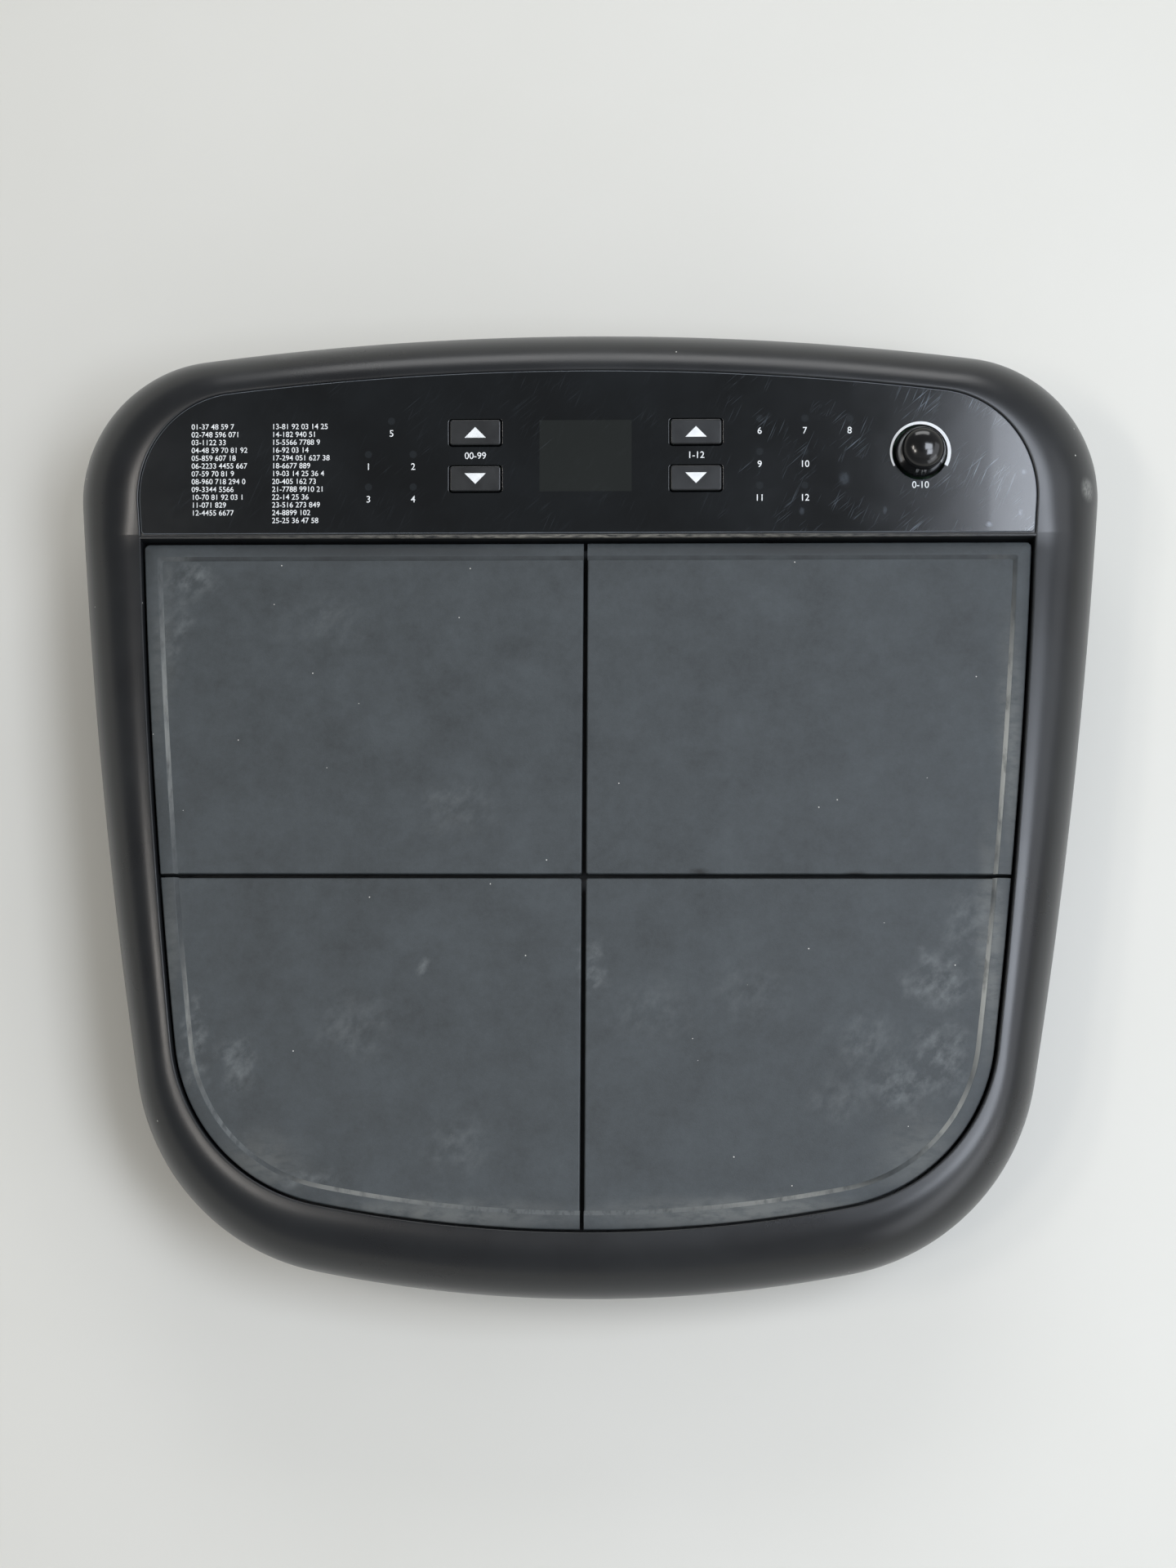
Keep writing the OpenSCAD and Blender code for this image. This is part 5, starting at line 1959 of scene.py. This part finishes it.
# Moulded natural rubber: matt and slightly bloomed, with chalky rubs where sticks and hands land, and painted
# shade and sheen on the borders
RUBBER = LayeredFinish(
    "Dark grey rubber, compression moulded", "#272c2e", "#3f4548",
    tone_mm=26.0, tone_break=0.84, roughness=0.60, spread=0.06, grain_mm=0.45, grain_depth_mm=0.03,
    dust_mm=9.0, dust_r=0.022,
    wear=(
        # Painted shade: the border by the sill is darker than the rest of the rubber
        ColourLayer("#25292b", spots(BORDER_Z, reach=4.0, rows=(
            (-68.0, 76.3, 75.0, 4.0, 0.9), (68.0, 76.3, 75.0, 4.0, 0.9),
        )), cover=1.0),
        # Dust and hand wear along the borders, stronger on the right and the front, where it is also a
        # painted sheen
        ColourLayer("#6f716e", spots(BORDER_Z, reach=4.0, rows=(
            (-131.0, 40.0, 6.0, 50.0, 0.2), (-124.0, -50.0, 5.0, 40.0, 0.24),
            (130.0, 10.0, 7.0, 60.0, 0.4), (122.0, -50.0, 7.0, 55.0, 0.45),
            (-50.0, -127.0, 70.0, 7.0, 0.48), (55.0, -126.0, 75.0, 8.0, 0.54),
            (100.0, -110.0, 20.0, 20.0, 0.3), (-95.0, -113.0, 20.0, 16.0, 0.3),
        )), streak_mm=(2.5, 7.0), turn_deg=90.0, cover=0.75, wander_mm=4.0),
        # Chalky rubs in the fields
        ColourLayer("#7a7f80", spots(FIELD_Z, reach=4.0, rows=(
            (114.5, -42.0, 12.0, 16.0, 0.28), (106.0, -58.0, 14.0, 13.0, 0.46),
            (106.0, -80.0, 15.0, 14.0, 0.5), (94.0, -88.0, 17.0, 12.0, 0.46),
            (84.0, -76.0, 16.0, 14.0, 0.25), (76.0, -92.0, 13.0, 12.0, 0.22),
            (-116.0, -76.0, 5.0, 18.0, 0.5), (-103.0, -82.0, 8.0, 16.0, 0.43),
            (-68.9, -72.0, 16.0, 15.0, 0.2), (-47.4, -55.1, 5.0, 5.0, 0.4),
            (-80.0, -116.0, 16.0, 6.0, 0.37), (-36.0, -106.0, 16.0, 12.0, 0.19),
            (-122.0, 67.0, 12.0, 9.0, 0.43), (-127.0, 50.0, 7.0, 24.0, 0.28),
            (-38.5, -5.3, 18.0, 14.0, 0.19), (2.0, -54.0, 6.0, 12.0, 0.43),
            (-81.0, 54.0, 20.0, 14.0, 0.15), (20.0, -66.0, 20.0, 16.0, 0.15), (50.0, -60.0, 18.0, 14.0, 0.15),
        )), streak_mm=(3.4, 5.2), turn_deg=-38.0, cover=0.52, wander_mm=16.0),
        # Two dark patches at the front edge of a rear pad, by the gap
        ColourLayer("#121516", spots(FIELD_Z, reach=4.0, rows=(
            (35.0, -24.6, 4.5, 1.8, 1.0), (81.5, -25.2, 5.0, 1.3, 1.0),
        )), streak_mm=(1.0, 2.0), turn_deg=90.0, cover=1.0, wander_mm=1.5),
    ),
)
# The step inside a pad's border: a darker rubber, as painted shade that stays by the sill, rubbed pale and
# dusty by hands and sticks elsewhere
STEP_DUST_AND_SHADE = LayeredFinish(
    "Dark grey rubber, rubbed and dusty", "#1d2123", "#33383a",
    tone_mm=6.0, roughness=0.70, spread=0.05, grain_mm=0.45, grain_depth_mm=0.03, dust_r=0.0,
    wear=(
        # Dull rubs along the sides and the front
        ColourLayer("#55595a", spots(BORDER_Z, reach=5.0, rows=(
            (-130.0, 10.0, 12.0, 110.0, 1.0), (0.0, -126.0, 130.0, 16.0, 1.0),
            (-105.0, -100.0, 26.0, 26.0, 1.0), (105.0, -100.0, 26.0, 26.0, 1.0),
        )), streak_mm=(1.5, 5.0), turn_deg=0.0, cover=0.75, wander_mm=6.0),
        # Pale dust, thickest at the right, where it is also a painted highlight of the step's lit side
        ColourLayer("#8f908b", spots(BORDER_Z, reach=5.0, rows=(
            (128.0, 5.0, 10.0, 85.0, 1.0), (119.0, -60.0, 10.0, 45.0, 1.0), (108.0, -98.0, 16.0, 22.0, 0.7),
            (60.0, -121.0, 60.0, 8.0, 0.6), (-60.0, -120.0, 60.0, 8.0, 0.5), (-127.0, 30.0, 8.0, 60.0, 0.4),
            (-117.0, -70.0, 8.0, 40.0, 0.5),
        )), streak_mm=(3.0, 9.0), turn_deg=0.0, cover=0.8, wander_mm=4.0),
    ),
)
# ABS caps with a satin skin: dark, with soft highlights along their edges
CAP = Finish(
    "Dark grey ABS, satin moulded", "#0f1113", "#15181a",
    tone_mm=6.0, roughness=0.36, spread=0.05, grain_mm=0.25, grain_depth_mm=0.004,
)
# Polished black ABS: sharp small highlights
KNOB = Finish(
    "Black ABS, polished", "#070708", "#0b0b0c",
    tone_mm=5.0, roughness=0.16, spread=0.03, grain_mm=1.5, grain_depth_mm=0.001, coat=0.15,
)
# Screen ink: opaque matt white, a little uneven
INK = Finish(
    "White screen ink", "#e6e8e8", "#d4d7d8",
    tone_mm=3.0, roughness=0.55, spread=0.05, grain_mm=0.2, grain_depth_mm=0.002,
)
# Open cells about a millimetre wide: matt and pitted
FOAM = Finish(
    "Polyurethane foam, open cell", "#4b4842", "#3a3833",
    tone_mm=3.0, roughness=0.95, spread=0.03, grain_mm=1.0, grain_depth_mm=0.25,
)
# Round wires of extruded vinyl: red, with a soft line of light along them
WIRE = Finish(
    "Red PVC, extruded", "#8c2b2b", "#7a2424",
    tone_mm=3.0, roughness=0.45, spread=0.05, grain_mm=0.4, grain_depth_mm=0.004,
)
# Flat cable: soft grey vinyl, drawn out along its wires
RIBBON = Finish(
    "Grey PVC, extruded flat", "#9aa0a6", "#8b9197",
    tone_mm=4.0, roughness=0.42, spread=0.05, grain_mm=0.5, grain_depth_mm=0.006, stretch=(1.0, 0.2, 0.2),
)
# Moulded nylon: black, with a dull and even sheen
NYLON = Finish(
    "Black nylon, moulded", "#17181a", "#202224",
    tone_mm=4.0, roughness=0.5, spread=0.06, grain_mm=0.3, grain_depth_mm=0.004,
)

# Finishes of the CAD nodes that are shown, by material slot
INNER: dict[str, Finish] = {
    "housing_abs": HOUSING,
    "switch_nylon": NYLON,
    # Plain moulded tray: a little greyer and duller than the shells
    "tray_abs": Finish(
        "Grey ABS, plain moulded", "#34373a", "#3d4043",
        tone_mm=20.0, roughness=0.5, spread=0.05, grain_mm=0.5, grain_depth_mm=0.005,
    ),
    # Rolled sheet: bright, with its grain drawn out one way
    "pad_steel": Finish(
        "Mild steel sheet, rolled and zinc plated", "#aeb1b3", "#9a9ea1", metallic=1.0,
        tone_mm=12.0, roughness=0.34, spread=0.08, grain_mm=0.4, grain_depth_mm=0.004,
        stretch=(0.05, 1.0, 1.0),
    ),
    # Turned brass: warm, with small bright highlights
    "piezo_brass": Finish(
        "Brass, turned", "#c39a45", "#a8823a", metallic=1.0,
        tone_mm=4.0, roughness=0.28, spread=0.08, grain_mm=0.3, grain_depth_mm=0.003,
    ),
    # Zinc plating: pale and bright, slightly clouded
    "plated_steel": Finish(
        "Steel, zinc plated", "#b4b7b9", "#9da1a4", metallic=1.0,
        tone_mm=2.5, roughness=0.26, spread=0.08, grain_mm=0.25, grain_depth_mm=0.003,
    ),
    # Powder coat: dark, with an orange-peel texture that breaks up its highlights
    "jack_plate_steel": Finish(
        "Steel sheet, black powder coated", "#1b1c1e", "#232527",
        tone_mm=8.0, roughness=0.55, spread=0.05, grain_mm=0.5, grain_depth_mm=0.012,
    ),
    # Cast epoxy: smoky grey-green and smooth
    "display_epoxy": Finish(
        "Tinted epoxy, cast", "#34382c", "#2c3026",
        tone_mm=5.0, roughness=0.2, spread=0.04, grain_mm=0.6, grain_depth_mm=0.002,
    ),
    # Cast epoxy: deep red, with small sharp highlights
    "led_epoxy": Finish(
        "Red epoxy, cast", "#b03028", "#952620",
        tone_mm=2.0, roughness=0.15, spread=0.04, grain_mm=0.4, grain_depth_mm=0.002,
    ),
    # Solder resist over copper tracks: green, half gloss and uneven
    "circuit_board": Finish(
        "Glass epoxy board with green solder resist", "#1f5a31", "#2a6e3e",
        tone_mm=2.2, roughness=0.35, spread=0.06, grain_mm=0.9, grain_depth_mm=0.03,
    ),
    # Undyed nylon: cream, with a soft sheen
    "header_nylon": Finish(
        "Cream nylon, moulded", "#dedbcb", "#d2cebd",
        tone_mm=4.0, roughness=0.45, spread=0.05, grain_mm=0.3, grain_depth_mm=0.004,
    ),
    # Moulded rubber: black and matt
    "foot_rubber": Finish(
        "Black rubber, moulded", "#161617", "#1f1f20",
        tone_mm=5.0, roughness=0.8, spread=0.05, grain_mm=0.4, grain_depth_mm=0.02,
    ),
}


def main() -> None:
    """Builds every piece in order."""
    logging.basicConfig(level=logging.INFO, format="%(name)s %(message)s")
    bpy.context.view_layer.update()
    ink = INK.make()
    panel = ControlPanel()
    TopHousing().build(panel, HOUSING.make())
    PadSet().build(RUBBER.make(), STEP_DUST_AND_SHADE.make(), FOAM.make())
    panel.build(OVERLAY.make(), OVERLAY_EDGE_HIGHLIGHT.make(), ink)
    PanelButtons(panel).build(CAP.make(), ink)
    VolumeKnob(panel).build(KNOB.make())
    DataSocket().build(NYLON.make())
    Wiring().build(WIRE.make(), RIBBON.make())
    Insides(INNER).dress()
    Studio().build()


if __name__ == "__main__":
    main()
